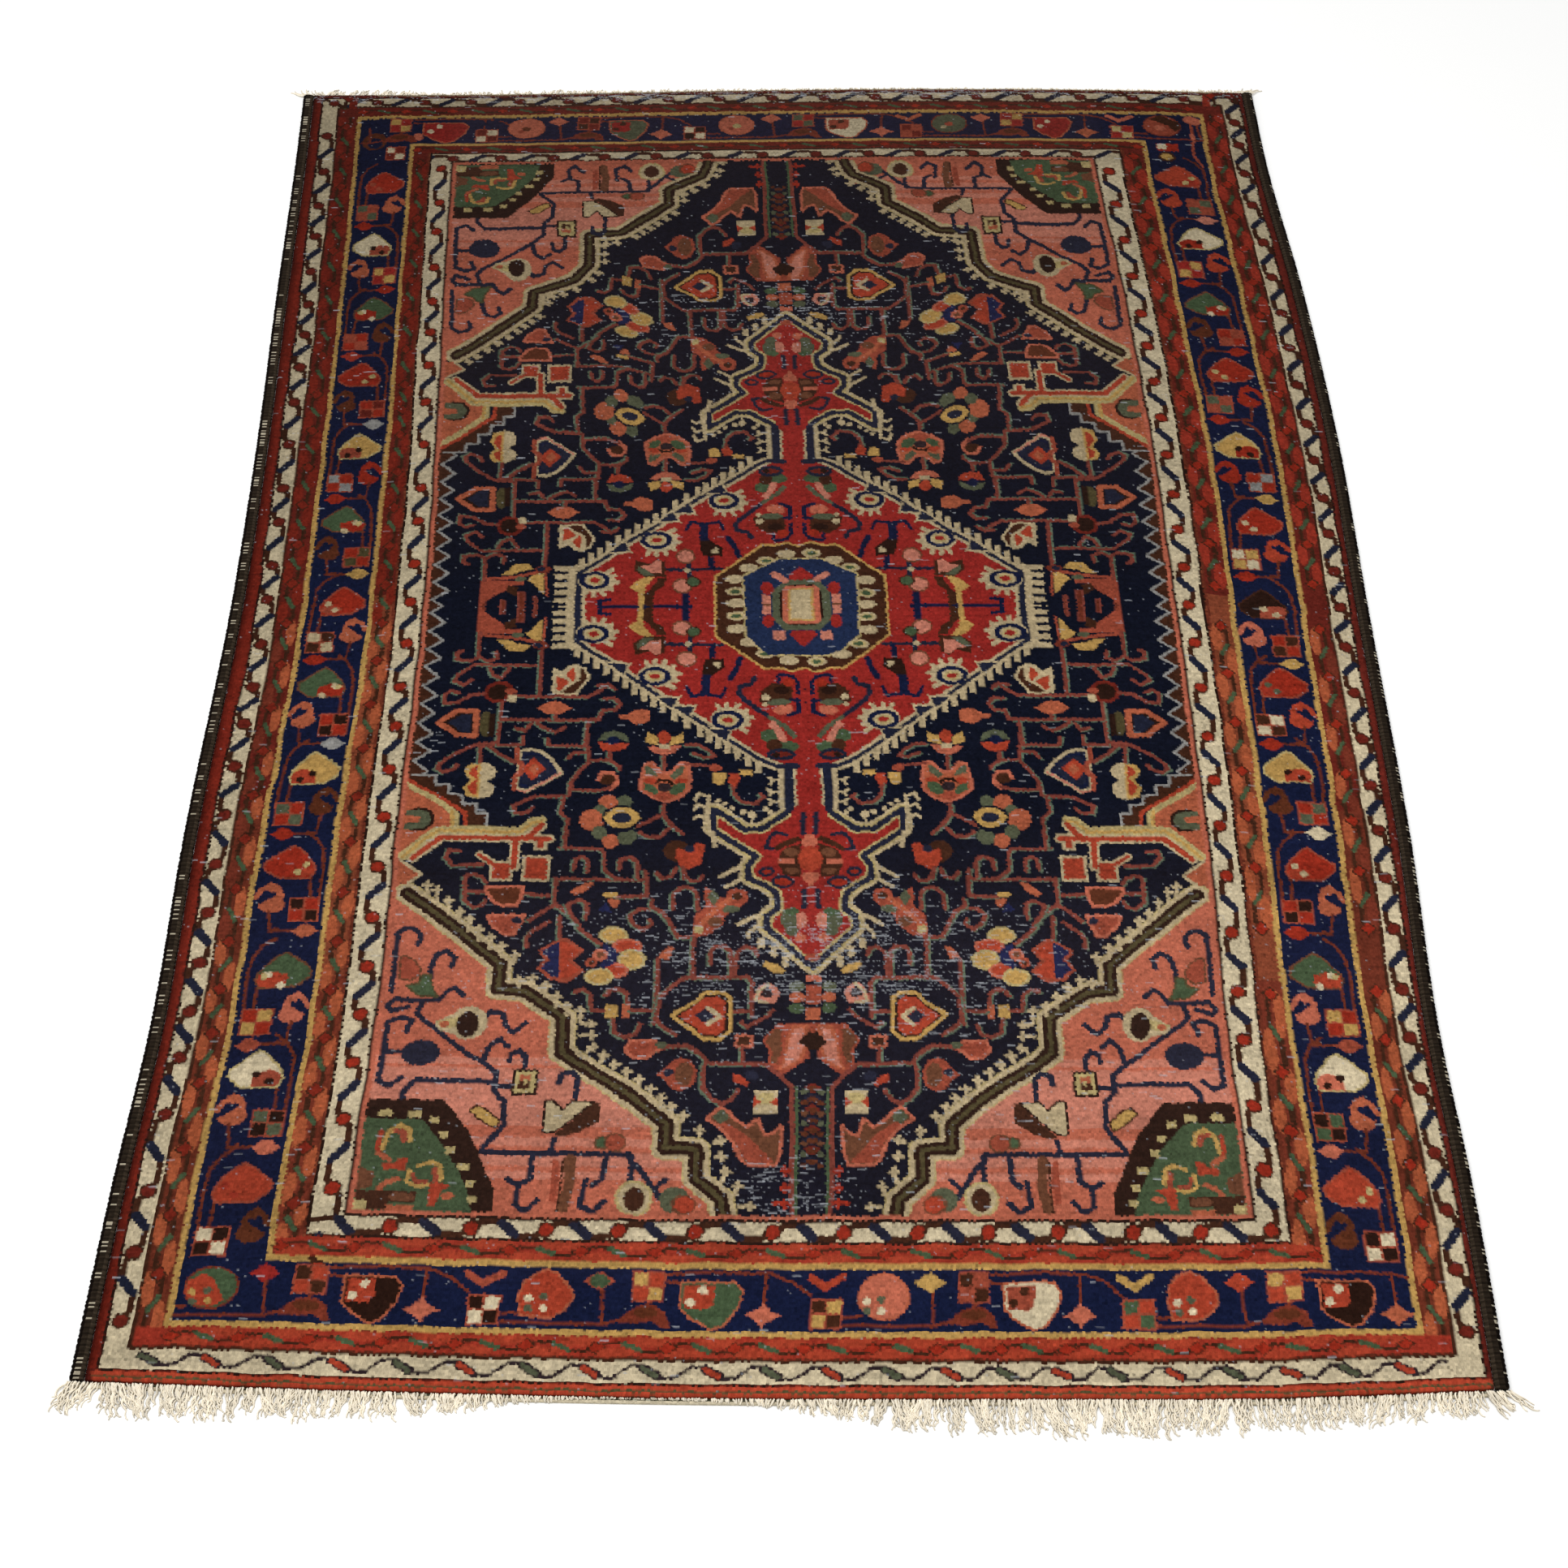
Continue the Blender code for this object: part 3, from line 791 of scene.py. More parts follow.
def paint_lamp(pen):
    """What hangs inside the pendant, and the hooks along its edge."""
    for s, t in ((32, 277), (32, 293), (32, 307)):
        pen.stroke("cream", 3.6, (s, t), (s + 7, t), (s + 11, t - 4))
        pen.stroke("cream", 3.6, (s + 7, t), (s + 9, t + 5))
    for s, t, drop in ((108, 299, 10), (109, 315, 7), (109, 331, 3)):
        pen.stroke("cream", 4.2, (s - 2, t), (s + 9, t - 4), (s + 13, t - 4 + drop))
    pen.block("cream", 105, 109, 296, 350)
    for s, t, reach in ((97, 305, 3), (90, 311, 3), (83, 317, 3.2), (71, 322, 3.4), (61, 326, 4.8),
                        (46, 318, 3.4), (41, 323, 3)):
        pen.oval("cream", s, t, reach, reach)
    pen.stroke("cream", 3.6, (61, 328), (61, 336))
    pen.stroke("cream", 5.5, (102, 350), (101, 368))
    pen.stroke("cream", 4.4, (76, 398), (94, 410))
    pen.stroke("cream", 4.4, (76, 415), (89, 424))
    pen.stroke("cream", 5, (56, 462), (64, 466), (75, 473))
    pen.stroke("cream", 5, (57, 475), (65, 484), (65, 488))
    for s, t in ((53, 498), (41, 509), (29, 521)):
        pen.block("cream", s - 3.5, s + 3.5, t - 8, t + 6)
    for low, high in ((322, 352), (426, 453)):
        pen.block("dusk", 4, 10, low, high)
    pen.shape("salmon", (-9, 352), (4, 352), (9, 361), (5, 369), (-9, 369))
    pen.shape("salmon", (-9, 404), (9, 404), (9, 412), (0, 423))
    pen.stroke("dusk", 4.5, (24, 353), (36, 350), (43, 358), (47, 372), (36, 373))
    pen.stroke("bark", 7, (12, 358), (24, 364), (34, 372))
    pen.shape("bark", (9, 364), (24, 370), (33, 380), (34, 396), (28, 408), (10, 410))
    pen.oval("orange", 0, 386, 12.5, 17)
    pen.oval("umber", 20, 377, 8, 6)
    pen.oval("umber", 20, 402, 8, 4)
    pen.block("salmon", 16, 34, 386, 393)
    ring(pen, "dusk", "brick", 47, 403, 9, 4, 7)
    ring(pen, "dusk", "brick", 30, 417, 13, 4, 9)
    pen.oval("sage", 24, 466, 9, 14)
    pen.oval("green", 21, 456, 8, 5)
    pen.oval("sage", 22, 480, 7, 8)
    for s, t, colour, reach_s, reach_t in (
        (11, 468, "rose", 6.5, 10), (13, 490, "salmon", 6, 6), (0, 516, "rust", 8, 5),
    ):
        pen.oval(colour, s, t, reach_s, reach_t)


def paint_pocket(pen):
    """The small things in the navy pocket between the pendant's shoulder and its neck."""
    vine(pen, (82, 282), (81, 296), (72, 308), (58, 311), (48, 300), (52, 296))
    vine(pen, (132, 226), (118, 226), (106, 235), (102, 243), (112, 245), (124, 238))
    pen.stroke("russet", 4, (132, 254), (106, 257))
    pen.block("yellow", 61, 75, 263, 270)
    pen.shape("orange", (76, 268), (86, 268), (87, 280), (80, 286), (74, 276))
    pen.shape("yellow", (90, 267), (103, 267), (103, 280), (97, 285), (90, 278))
    pen.oval("rust", 100, 260, 7, 5)


def paint_upper_flowers(pen):
    """The flowers of the navy field beside the medallion, in its middle part."""
    # Bowl on its stem, with the cat-eared palmette under it.
    pen.shape("yellow", (135, 208), (148, 214), (150, 226), (135, 222))
    pen.shape("yellow", (176, 207), (164, 214), (162, 226), (177, 222))
    pen.oval("orange", 156, 214, 7, 9)
    pen.shape("salmon", (138, 227), (148, 226), (161, 231), (166, 226), (174, 229), (168, 237), (156, 242),
              (144, 237))
    pen.block("cream", 150, 162, 224, 231)
    vine(pen, (156, 242), (155, 268))
    cat = [(129, 254), (137, 253), (149, 267), (158, 267), (169, 253), (176, 255), (179, 270), (180, 289),
           (168, 301), (154, 307), (140, 303), (128, 291), (127, 272)]
    framed(pen, "salmon", 2.4, "coral", *cat)
    for s in (137, 170):
        pen.oval("orange", s, 278, 7, 5)
    pen.shape("sage", (133, 258), (138, 258), (150, 270), (146, 275), (135, 268))
    pen.shape("sage", (178, 257), (172, 258), (162, 268), (164, 272), (176, 268))
    pen.shape("green", (131, 281), (138, 279), (151, 288), (148, 296), (142, 298), (133, 291))
    pen.shape("green", (176, 281), (170, 282), (162, 290), (161, 297), (168, 296), (177, 290))
    pen.stroke("dark", 3.5, (146, 281), (150, 276), (160, 276), (165, 281))
    pen.oval("plum", 155, 286, 8, 6)
    pen.shape("rust", (143, 300), (152, 293), (160, 293), (168, 300), (156, 306))
    vine(pen, (156, 312), (156, 325), (148, 338), (134, 352))
    vine(pen, (158, 326), (170, 334), (184, 342))
    vine(pen, (150, 345), (158, 356), (170, 357), (180, 350))
    # Half flower and ring flower to its right.
    pen.shape("sage", (195, 222), (199, 210), (210, 205), (222, 208), (228, 220), (210, 215))
    pen.shape("orange", (194, 224), (212, 222), (228, 222), (222, 234), (210, 237), (200, 233))
    pen.oval("indigo", 212, 219, 7, 6)
    vine(pen, (214, 237), (214, 250), (204, 257), (203, 262))
    vine(pen, (214, 249), (233, 249))
    pen.stroke("salmon", 6, (216, 267), (207, 272), (206, 280), (213, 288))
    pen.oval("bark", 217, 275, 9, 8)
    pen.stroke("salmon", 4.5, (210, 266), (222, 266), (226, 276))
    vine(pen, (213, 287), (224, 291), (253, 291), (256, 284))
    # Rosette with petals in turn.
    for s, t, colour, reach in (
        (197, 308, "sage", 8), (214, 308, "coral", 10), (222, 320, "sage", 7), (231, 333, "coral", 13),
        (222, 350, "sage", 8), (210, 362, "coral", 9), (193, 356, "sage", 10),
    ):
        pen.oval(colour, s, t, reach, reach + 1)
    pen.oval("midnight", 200, 331, 20, 18)
    pen.diamond("yellow", 199, 330, 20, 14)
    ring(pen, "yellow", "dusk", 199, 330, 17, 7, 14)
    # Fish-shaped bud, with the ring of vine beside it.
    pen.shape("coral", (173, 176), (178, 174), (190, 174), (196, 180), (207, 182), (207, 187), (197, 188),
              (193, 195), (180, 196), (173, 190))
    vine(pen, (224, 158), (212, 157), (206, 166), (212, 176), (224, 176), (228, 188), (233, 192))
    vine(pen, (212, 144), (220, 136), (232, 138))
    # Red half flower.
    pen.oval("bark", 141, 376, 13, 15)
    pen.shape("orange", (111, 366), (119, 364), (128, 376), (140, 372), (142, 386), (138, 396), (128, 400),
              (114, 393))
    pen.oval("dusk", 127, 373, 5, 5)
    vine(pen, (134, 398), (132, 412))
    vine(pen, (180, 412), (180, 390), (188, 384), (198, 388), (199, 400))
    vine(pen, (233, 404), (234, 388), (240, 384), (247, 388), (248, 402))
    vine(pen, (262, 373), (220, 373), (216, 378), (215, 402), (204, 412))


def paint_side_flowers(pen):
    """The flowers between the medallion and the long edge."""
    # Palmette with its foot at the fold.
    for s0, s1, t0, t1 in ((305, 311, -9, 32), (320, 329, -9, 40), (342, 349, -9, 27), (364, 372, -9, 40)):
        pen.block("russet", s0, s1, t0, t1)
        pen.block("clay", s0 + 1.5, s1 - 3, t0, t1 - 2)
    pen.shape("rust", (372, 14), (372, 58), (320, 58), (322, 50), (338, 50), (342, 42), (354, 34))
    pen.shape("bark", (329, 32), (342, 40), (341, 50), (328, 48))
    pen.stroke("rust", 5, (306, 70), (322, 66), (345, 62), (368, 60))
    pen.shape("yellow", (297, 36), (301, 38), (310, 52), (317, 58), (307, 68), (298, 68))
    pen.stroke("rust", 3, (294, 33), (296, 68))
    pen.oval("sage", 326, 60, 7, 4.5)
    pen.shape("yellow", (309, 76), (322, 74), (338, 67), (350, 66), (340, 76), (334, 86), (318, 86))
    pen.oval("madder", 299, 75, 9, 6)
    pen.oval("dusk", 301, 75, 5, 4)
    vine(pen, (297, 82), (297, 152))
    vine(pen, (368, 58), (368, 94), (356, 102), (346, 96), (347, 86))
    vine(pen, (368, 96), (378, 101), (392, 98), (393, 88), (386, 84))
    vine(pen, (303, 107), (372, 107), (390, 123), (393, 132), (382, 138), (374, 130))
    vine(pen, (332, 112), (340, 127), (350, 122), (354, 112))
    # Tulip on its side.
    tulip = [(242, 126), (247, 113), (256, 108), (262, 109), (272, 120), (281, 114), (281, 148), (272, 150),
             (256, 150), (248, 136)]
    framed(pen, "cream", 2.2, "bark", *tulip)
    pen.shape("cream", (251, 110), (262, 108), (272, 119), (282, 113), (282, 146), (276, 150), (252, 130))
    pen.shape("orange", (258, 112), (262, 112), (267, 122), (260, 132), (256, 126))
    pen.shape("orange", (263, 132), (272, 126), (278, 124), (278, 142), (274, 146))
    vine(pen, (222, 138), (232, 148), (242, 154), (325, 154))
    # Dark rose with its vines.
    pen.oval("wine", 341, 148, 16, 17)
    pen.oval("dark", 342, 148, 11, 12)
    pen.oval("rust", 328, 147, 6, 5)
    pen.shape("cream", (320, 154), (330, 152), (332, 162), (323, 163))
    vine(pen, (357, 150), (371, 151), (386, 164), (400, 166), (402, 152), (394, 146), (386, 150))
    vine(pen, (337, 164), (337, 226))
    vine(pen, (228, 190), (337, 190))
    vine(pen, (240, 192), (241, 228), (246, 227), (282, 227), (284, 216))
    vine(pen, (266, 200), (276, 207), (290, 200), (296, 194))
    vine(pen, (302, 196), (308, 206), (318, 202))
    vine(pen, (309, 214), (310, 226), (337, 227))
    pen.oval("coral", 279, 172, 15, 10)
    pen.diamond("coral", 279, 172, 20, 11)
    vine(pen, (277, 182), (277, 188))
    # Heart in a salmon frame.
    framed(pen, "coral", 4.5, "dark", (365, 178), (384, 178), (403, 194), (383, 211), (365, 211))
    pen.shape("dusk", (369, 182), (380, 182), (394, 194), (380, 208), (369, 208))
    pen.oval("olive", 353, 196, 7, 18)
    pen.block("dark", 343, 350, 182, 214)
    # Toothed edge beside the frame.
    teeth = []
    for number in range(10):
        teeth += [(410, 12 + 28.2 * number), (427, 26 + 28.2 * number)]
    pen.shape("bark", (432, -9), *teeth, (432, 272))
    pen.stroke("fog", 3.2, (425, -2), *teeth)
    # Blue kite and its vines.
    kite = [(267, 266), (278, 250), (290, 238), (301, 234), (312, 236), (313, 254), (312, 264), (313, 288),
            (302, 292), (288, 283)]
    framed(pen, "cream", 3, "dusk", *kite)
    pen.stroke("rose", 2.5, *[(s + 2, t + 2) for s, t in kite[-4:]], kite[0])
    pen.shape("indigo", *[(290 + (s - 290) * 0.86, 263 + (t - 263) * 0.84) for s, t in kite])
    pen.shape("dusk", *[(290 + (s - 290) * 0.78, 263 + (t - 263) * 0.74) for s, t in kite])
    pen.diamond("orange", 297, 262, 13, 16)
    pen.diamond("coral", 296, 262, 7, 8)
    pen.stroke("rust", 5.5, (316, 232), (316, 248), (310, 256), (310, 268), (316, 272), (316, 290))
    vine(pen, (238, 230), (236, 252), (246, 262), (256, 280), (258, 300))
    vine(pen, (240, 237), (254, 238), (260, 246))
    vine(pen, (262, 300), (290, 301), (303, 307), (314, 314), (312, 324), (300, 324), (294, 317))
    vine(pen, (262, 300), (265, 322), (256, 332), (258, 372))
    # Two-lobed flower.
    for t in (266, 291):
        pen.oval("cream", 353, t, 16, 13.5)
    pen.shape("yellow", (353, 253), (366, 256), (371, 266), (363, 277), (371, 288), (366, 300), (353, 304))
    pen.shape("orange", (356, 256), (363, 262), (366, 268), (357, 276), (366, 286), (362, 296), (356, 299))
    vine(pen, (356, 226), (355, 252))
    vine(pen, (350, 226), (336, 240), (318, 252))
    vine(pen, (362, 226), (380, 238), (396, 252), (401, 262), (392, 267), (382, 262), (379, 256))
    pen.block("russet", 340, 360, 222, 230)


def paint_side_notch(pen):
    """The arm that reaches into the field from the long edge, and the salmon notches beside it."""
    steps = [(426, 271), (400, 271), (400, 285), (385, 285), (385, 299), (370, 299), (370, 312), (354, 312),
             (354, 325), (342, 325), (342, 344)]
    pen.shape("bark", *steps, (366, 344), (366, 325), (432, 276))
    pen.stroke("fog", 3.2, *steps)
    pen.shape("coral", (435, 278), (378, 322), (378, 350), (435, 388))
    pen.stroke("straw", 8, (431, 283), (390, 313), (376, 326), (376, 345))
    pen.stroke("yellow", 4, (380, 322), (378, 342))
    pen.stroke("orange", 4.4, (430, 278), (392, 305), (366, 324), (364, 343))
    pen.oval("dark", 414, 334, 17, 16)
    pen.oval("sage", 415, 334, 14, 13)
    pen.block("sage", 418, 428, 321, 347)
    pen.shape("coral", (414, 330), (432, 328), (432, 340), (414, 338))
    pen.oval("coral", 418, 334, 6, 4.5)
    arm = [(284, 334), (294, 337), (305, 348), (392, 348), (406, 362), (426, 385)]
    bars = [((274, 359), (388, 359), (416, 388)), ((283, 340), (298, 358)), ((310, 360), (310, 398))]
    boxes = [(275, 298, 386, 414), (314, 331, 393, 414), (280, 287, 360, 372)]
    for bar in bars:
        pen.stroke("cream", 12, *bar)
    for s0, s1, t0, t1 in boxes:
        pen.block("cream", s0 - 3.5, s1 + 3.5, t0 - 3.5, t1 + 3.5)
    pen.stroke("cream", 10, (326, 398), (346, 383))
    pen.stroke("straw", 11, *arm)
    pen.stroke("yellow", 4, *[(s, t + 1) for s, t in arm])
    for bar in bars:
        pen.stroke("orange", 6.5, *bar)
    for box in boxes:
        pen.block("orange", *box)
    pen.stroke("orange", 5, (324, 400), (346, 383))
    vine(pen, (342, 396), (372, 397), (382, 386), (378, 376), (366, 378))
    pen.shape("coral", (436, 386), (406, 410), (418, 422), (436, 424))
    pen.stroke("cream", 3.4, (434, 386), (405, 410), (418, 422))


# The small cream crosses along the stepped band, on its field side, with the way each one's stem
# runs to the band. Columns: across, along, stem across, stem along.
CROSSLETS = [
    (397, 423, 0, 14), (387, 430, 0, 18), (375, 444, 0, 16), (363, 458, 0, 14), (352, 468, 0, 16),
    (341, 481, 0, 14), (329, 492, 0, 14), (317, 503, 0, 14), (303, 515, 0, 10), (283, 543, 0, 10),
    (296, 546, 0, 8), (270, 553, 0, 13), (258, 565, 0, 14), (246, 577, 0, 12), (232, 583, 0, 14),
    (221, 600, 9, 0), (220, 614, 12, 0), (218, 628, 6, 6), (206, 637, 4, 10), (195, 647, 3, 11),
    (183, 657, 0, 12), (171, 667, 0, 12), (158, 677, 0, 12), (147, 688, 0, 12), (137, 698, 0, 12),
    (126, 708, 0, 6), (109, 725, 0, 6), (88, 737, 5, 3), (87, 755, 4, 0), (82, 772, 4, 14), (70, 788, 2, 10),
    (58, 811, 10, 0),
]


def paint_lower_flowers(pen):
    """The flowers of the navy field between the pendant and the stepped band."""
    # Hooked vines beside the red half flower.
    vine(pen, (112, 408), (116, 415), (126, 415), (132, 407), (133, 400))
    vine(pen, (141, 400), (146, 410), (156, 413), (161, 405))
    # A worn tulip lying on its side, and its arch.
    ring(pen, "rust", "bark", 77, 436, 11, 6)
    pen.shape("rust", (66, 442), (84, 442), (96, 436), (108, 424), (111, 432), (110, 450), (122, 462),
              (124, 490), (108, 488), (92, 474), (88, 460), (76, 452))
    pen.diamond("sage", 101, 438, 7, 11)
    pen.stroke("coral", 6, (84, 440), (96, 450), (110, 466), (120, 482))
    pen.oval("sage", 83, 453, 9, 5)
    pen.oval("umber", 100, 470, 8, 7)
    pen.oval("straw", 118, 480, 5, 5)
    vine(pen, (118, 454), (118, 432), (124, 425), (136, 425), (143, 433), (143, 453))
    vine(pen, (122, 490), (138, 489), (146, 472), (154, 458), (164, 451), (180, 454), (187, 463), (183, 473),
         (173, 480), (164, 473), (166, 467))
    vine(pen, (172, 402), (170, 436), (200, 438))
    vine(pen, (165, 440), (165, 449))
    vine(pen, (176, 414), (262, 414))
    pen.oval("yellow", 208, 435, 8, 3.6)
    pen.shape("coral", (199, 441), (212, 441), (206, 452), (201, 452))
    pen.shape("royal", (213, 445), (220, 456), (206, 459))
    # The big flower of many colours.
    for s, t, colour, reach_s, reach_t in (
        (203, 488, "yellow", 14, 10), (189, 502, "orange", 15, 9), (184, 519, "yellow", 14, 12),
        (203, 533, "orange", 15, 9), (217, 541, "yellow", 14, 10),
    ):
        pen.oval("salmon" if colour == "orange" else "straw", s, t, reach_s + 1, reach_t + 1)
        pen.oval(colour, s, t, reach_s - 2, reach_t - 2)
    pen.oval("midnight", 221, 514, 14, 17)
    pen.shape("royal", (214, 499), (203, 504), (198, 514), (203, 526), (214, 532), (218, 527), (211, 516),
              (214, 505))
    ring(pen, "salmon", "umber", 217, 513, 8, 4)
    ring(pen, "rust", "bark", 226, 523, 6, 3)
    vine(pen, (216, 500), (222, 495), (234, 484), (244, 470))
    # Vines under the pendant's side.
    vine(pen, (57, 514), (60, 504), (68, 501), (76, 508), (79, 520), (79, 540))
    vine(pen, (83, 540), (83, 508), (90, 501), (100, 503), (104, 511), (104, 524))
    vine(pen, (122, 490), (122, 541))
    pen.shape("coral", (141, 502), (147, 503), (155, 510), (156, 517), (146, 518))
    vine(pen, (157, 518), (158, 592), (150, 602), (136, 613))
    pen.shape("yellow", (28, 532), (36, 525), (50, 520), (51, 527), (42, 534), (32, 536))
    vine(pen, (61, 590), (61, 548), (66, 541), (130, 541), (142, 552), (154, 565))
    vine(pen, (62, 583), (82, 583))
    vine(pen, (40, 582), (46, 590), (56, 597), (66, 603), (72, 597))
    framed(pen, "rose", 3.5, "plum", (43, 551), (50, 553), (56, 566), (40, 569), (37, 561))
    pen.stroke("cream", 3.5, (44, 549), (54, 558), (58, 570), (46, 572))
    # Heart with a yellow rim.
    heart = [(84, 567), (91, 561), (108, 561), (118, 572), (130, 580), (140, 588), (126, 601), (110, 616),
             (92, 616), (84, 607)]
    framed(pen, "yellow", 3, "dark", *heart)
    pen.shape("orange", *[(110 + (s - 110) * 0.82, 589 + (t - 589) * 0.84) for s, t in heart])
    pen.stroke("cream", 5, (106, 579), (94, 589), (106, 599))
    pen.diamond("dusk", 109, 589, 10, 9)
    # Arch over two small blocks.
    vine(pen, (187, 574), (188, 561), (196, 556), (205, 559), (208, 565))
    pen.block("coral", 184, 192, 575, 592)
    pen.block("yellow", 196, 208, 575, 592)
    vine(pen, (160, 583), (183, 583))
    vine(pen, (209, 583), (221, 583), (224, 562), (232, 557), (240, 560))
    vine(pen, (172, 600), (176, 612), (186, 616), (198, 610), (200, 594))
    # Stems that fork round the bicoloured flower.
    vine(pen, (265, 412), (265, 448), (246, 464), (238, 474))
    vine(pen, (266, 450), (282, 461), (291, 470))
    vine(pen, (259, 464), (258, 494))
    vine(pen, (270, 470), (287, 483), (293, 492), (292, 504))
    pen.shape("coral", (225, 418), (234, 419), (249, 432), (245, 437), (233, 430))
    vine(pen, (232, 466), (232, 446), (241, 442), (252, 449), (248, 460))
    pen.shape("rust", (233, 507), (252, 491), (258, 494), (258, 548), (249, 549), (232, 533), (244, 521))
    pen.shape("orange", (237, 508), (254, 496), (258, 497), (258, 543), (251, 544), (237, 533), (249, 521))
    pen.shape("rust", (257, 493), (268, 499), (280, 509), (271, 520), (280, 531), (266, 546), (257, 547))
    pen.shape("royal", (258, 497), (267, 502), (276, 509), (267, 520), (276, 531), (264, 542), (258, 543))
    vine(pen, (272, 436), (298, 434))
    vine(pen, (336, 432), (358, 433))
    vine(pen, (337, 420), (341, 413), (351, 409), (359, 412), (359, 444), (350, 453), (341, 451), (337, 444))
    framed(pen, "salmon", 2.5, "leaf", (299, 426), (337, 426), (336, 433), (326, 447), (318, 450), (304, 450),
           (300, 440))
    framed(pen, "salmon", 2.5, "rust", (296, 464), (332, 464), (330, 472), (324, 480), (314, 489), (307, 488))
    pen.oval("dusk", 303, 470, 5.5, 5)
    vine(pen, (154, 570), (158, 600))


def paint_column(pen):
    """The stem of flowers on the field's middle line, between the pendant and the end."""
    pen.block("salmon", -9, 8, 538, 546)
    pen.block("rust", -9, 8, 551, 574)
    pen.block("coral", -9, 8, 578, 594)
    for t, colour in ((552, "sage"), (565, "coral"), (579, "green")):
        pen.oval(colour, 17, t, 8, 6.5)
    pen.shape("rust", (-9, 598), (36, 598), (50, 620), (43, 630), (44, 652), (33, 664), (20, 652), (-9, 640))
    pen.shape("coral", (4, 600), (22, 600), (27, 620), (28, 640), (34, 655), (24, 652), (10, 640), (6, 628))
    pen.shape("rose", (10, 604), (18, 604), (24, 622), (26, 642), (30, 652), (14, 640), (10, 628))
    pen.shape("umber", (31, 604), (40, 606), (47, 620), (40, 630), (40, 646), (35, 646), (31, 632))
    pen.shape("midnight", (-9, 641), (8, 641), (24, 657))
    pen.diamond("dark", 3, 620, 12, 12)
    pen.block("midnight", -9, 4, 630, 645)
    for number in range(8):
        t = 676 + 12 * number
        pen.diamond(("wine", "dusk")[number % 2], 0, t, 9, 6)
        pen.oval(("sage", "leaf", "umber")[number % 3], 8, t + 5, 3.6, 3)
        pen.oval("leaf", 2, t + 1, 3, 3)
    pen.stroke("russet", 5, (44, 650), (30, 663), (20, 674), (18.5, 824))
    pen.stroke("green", 3.2, (15, 676), (15, 824))
    for t, reach in ((771, 30), (791, 30), (808, 38)):
        pen.block("brick", 20, reach, t - 2.4, t + 2.4)
        pen.block("brick", 24, 28, t - 6, t + 6)


def paint_near_flowers(pen):
    """The flowers on both sides of the middle stem, at the field's pointed end."""
    framed(pen, "salmon", 2, "bark", (61, 614), (76, 614), (76, 626), (61, 626))
    vine(pen, (70, 628), (69, 644))
    vine(pen, (45, 647), (103, 646), (106, 640), (116, 630), (126, 625), (146, 627), (154, 632))
    vine(pen, (106, 646), (107, 676), (99, 688), (89, 694), (79, 689), (74, 679))
    framed(pen, "salmon", 2.2, "rust", (156, 621), (180, 620), (185, 630), (177, 639), (165, 641), (155, 631),
           (149, 627))
    pen.oval("sage", 150, 625, 6, 4)
    pen.oval("rust", 129, 660, 16, 20)
    pen.shape("rust", (140, 646), (154, 660), (142, 670))
    pen.oval("umber", 126, 660, 9, 15)
    pen.oval("dusk", 142, 658, 5.5, 5)
    pen.block("cream", 33, 57, 679, 705)
    pen.block("straw", 37, 53, 682, 694)
    pen.shape("orange", (33, 685), (41, 692), (33, 698))
    pen.shape("orange", (57, 685), (49, 692), (57, 698))
    pen.oval("dusk", 60, 661, 7, 6)
    pen.shape("orange", (62, 670), (71, 662), (78, 658), (78, 670), (66, 674))
    boot = [(30, 720), (38, 729), (47, 731), (53, 712), (63, 722), (76, 712), (83, 703), (90, 699),
            (102, 711), (88, 722), (75, 740), (69, 757), (62, 763), (35, 763), (32, 750)]
    framed(pen, "salmon", 2.4, "umber", *boot)
    pen.shape("rust", (37, 761), (50, 747), (66, 728), (84, 716), (91, 717), (73, 740), (67, 756), (61, 761))
    pen.diamond("sage", 89, 709, 9, 9)


def crosslets_beside(band):
    """Places for crosses every 15 mm along a band, 20 mm to its navy side, with their stems back to it."""
    places = []
    for (s0, t0), (s1, t1) in zip(band[:-1], band[1:]):
        length = math.hypot(s1 - s0, t1 - t0)
        aside_s, aside_t = (t0 - t1) / length, (s1 - s0) / length
        count = max(round(length / 15), 1)
        for share in (np.arange(count) + 0.5) / count:
            s, t = s0 + (s1 - s0) * share + 20 * aside_s, t0 + (t1 - t0) * share + 20 * aside_t
            places.append((s, t, -11 * aside_s, -11 * aside_t))
    return places


def paint_crosslets(pen, places):
    """The cream crosses along the stepped band."""
    for s, t, run, drop in places:
        pen.block("cream", s - 6, s + 6, t - 1.6, t + 2.2)
        pen.block("cream", s - 2, s + 2, t - 5.5, t + 6)
        pen.stroke("cream", 4.4, (s, t), (s + run, t + drop))


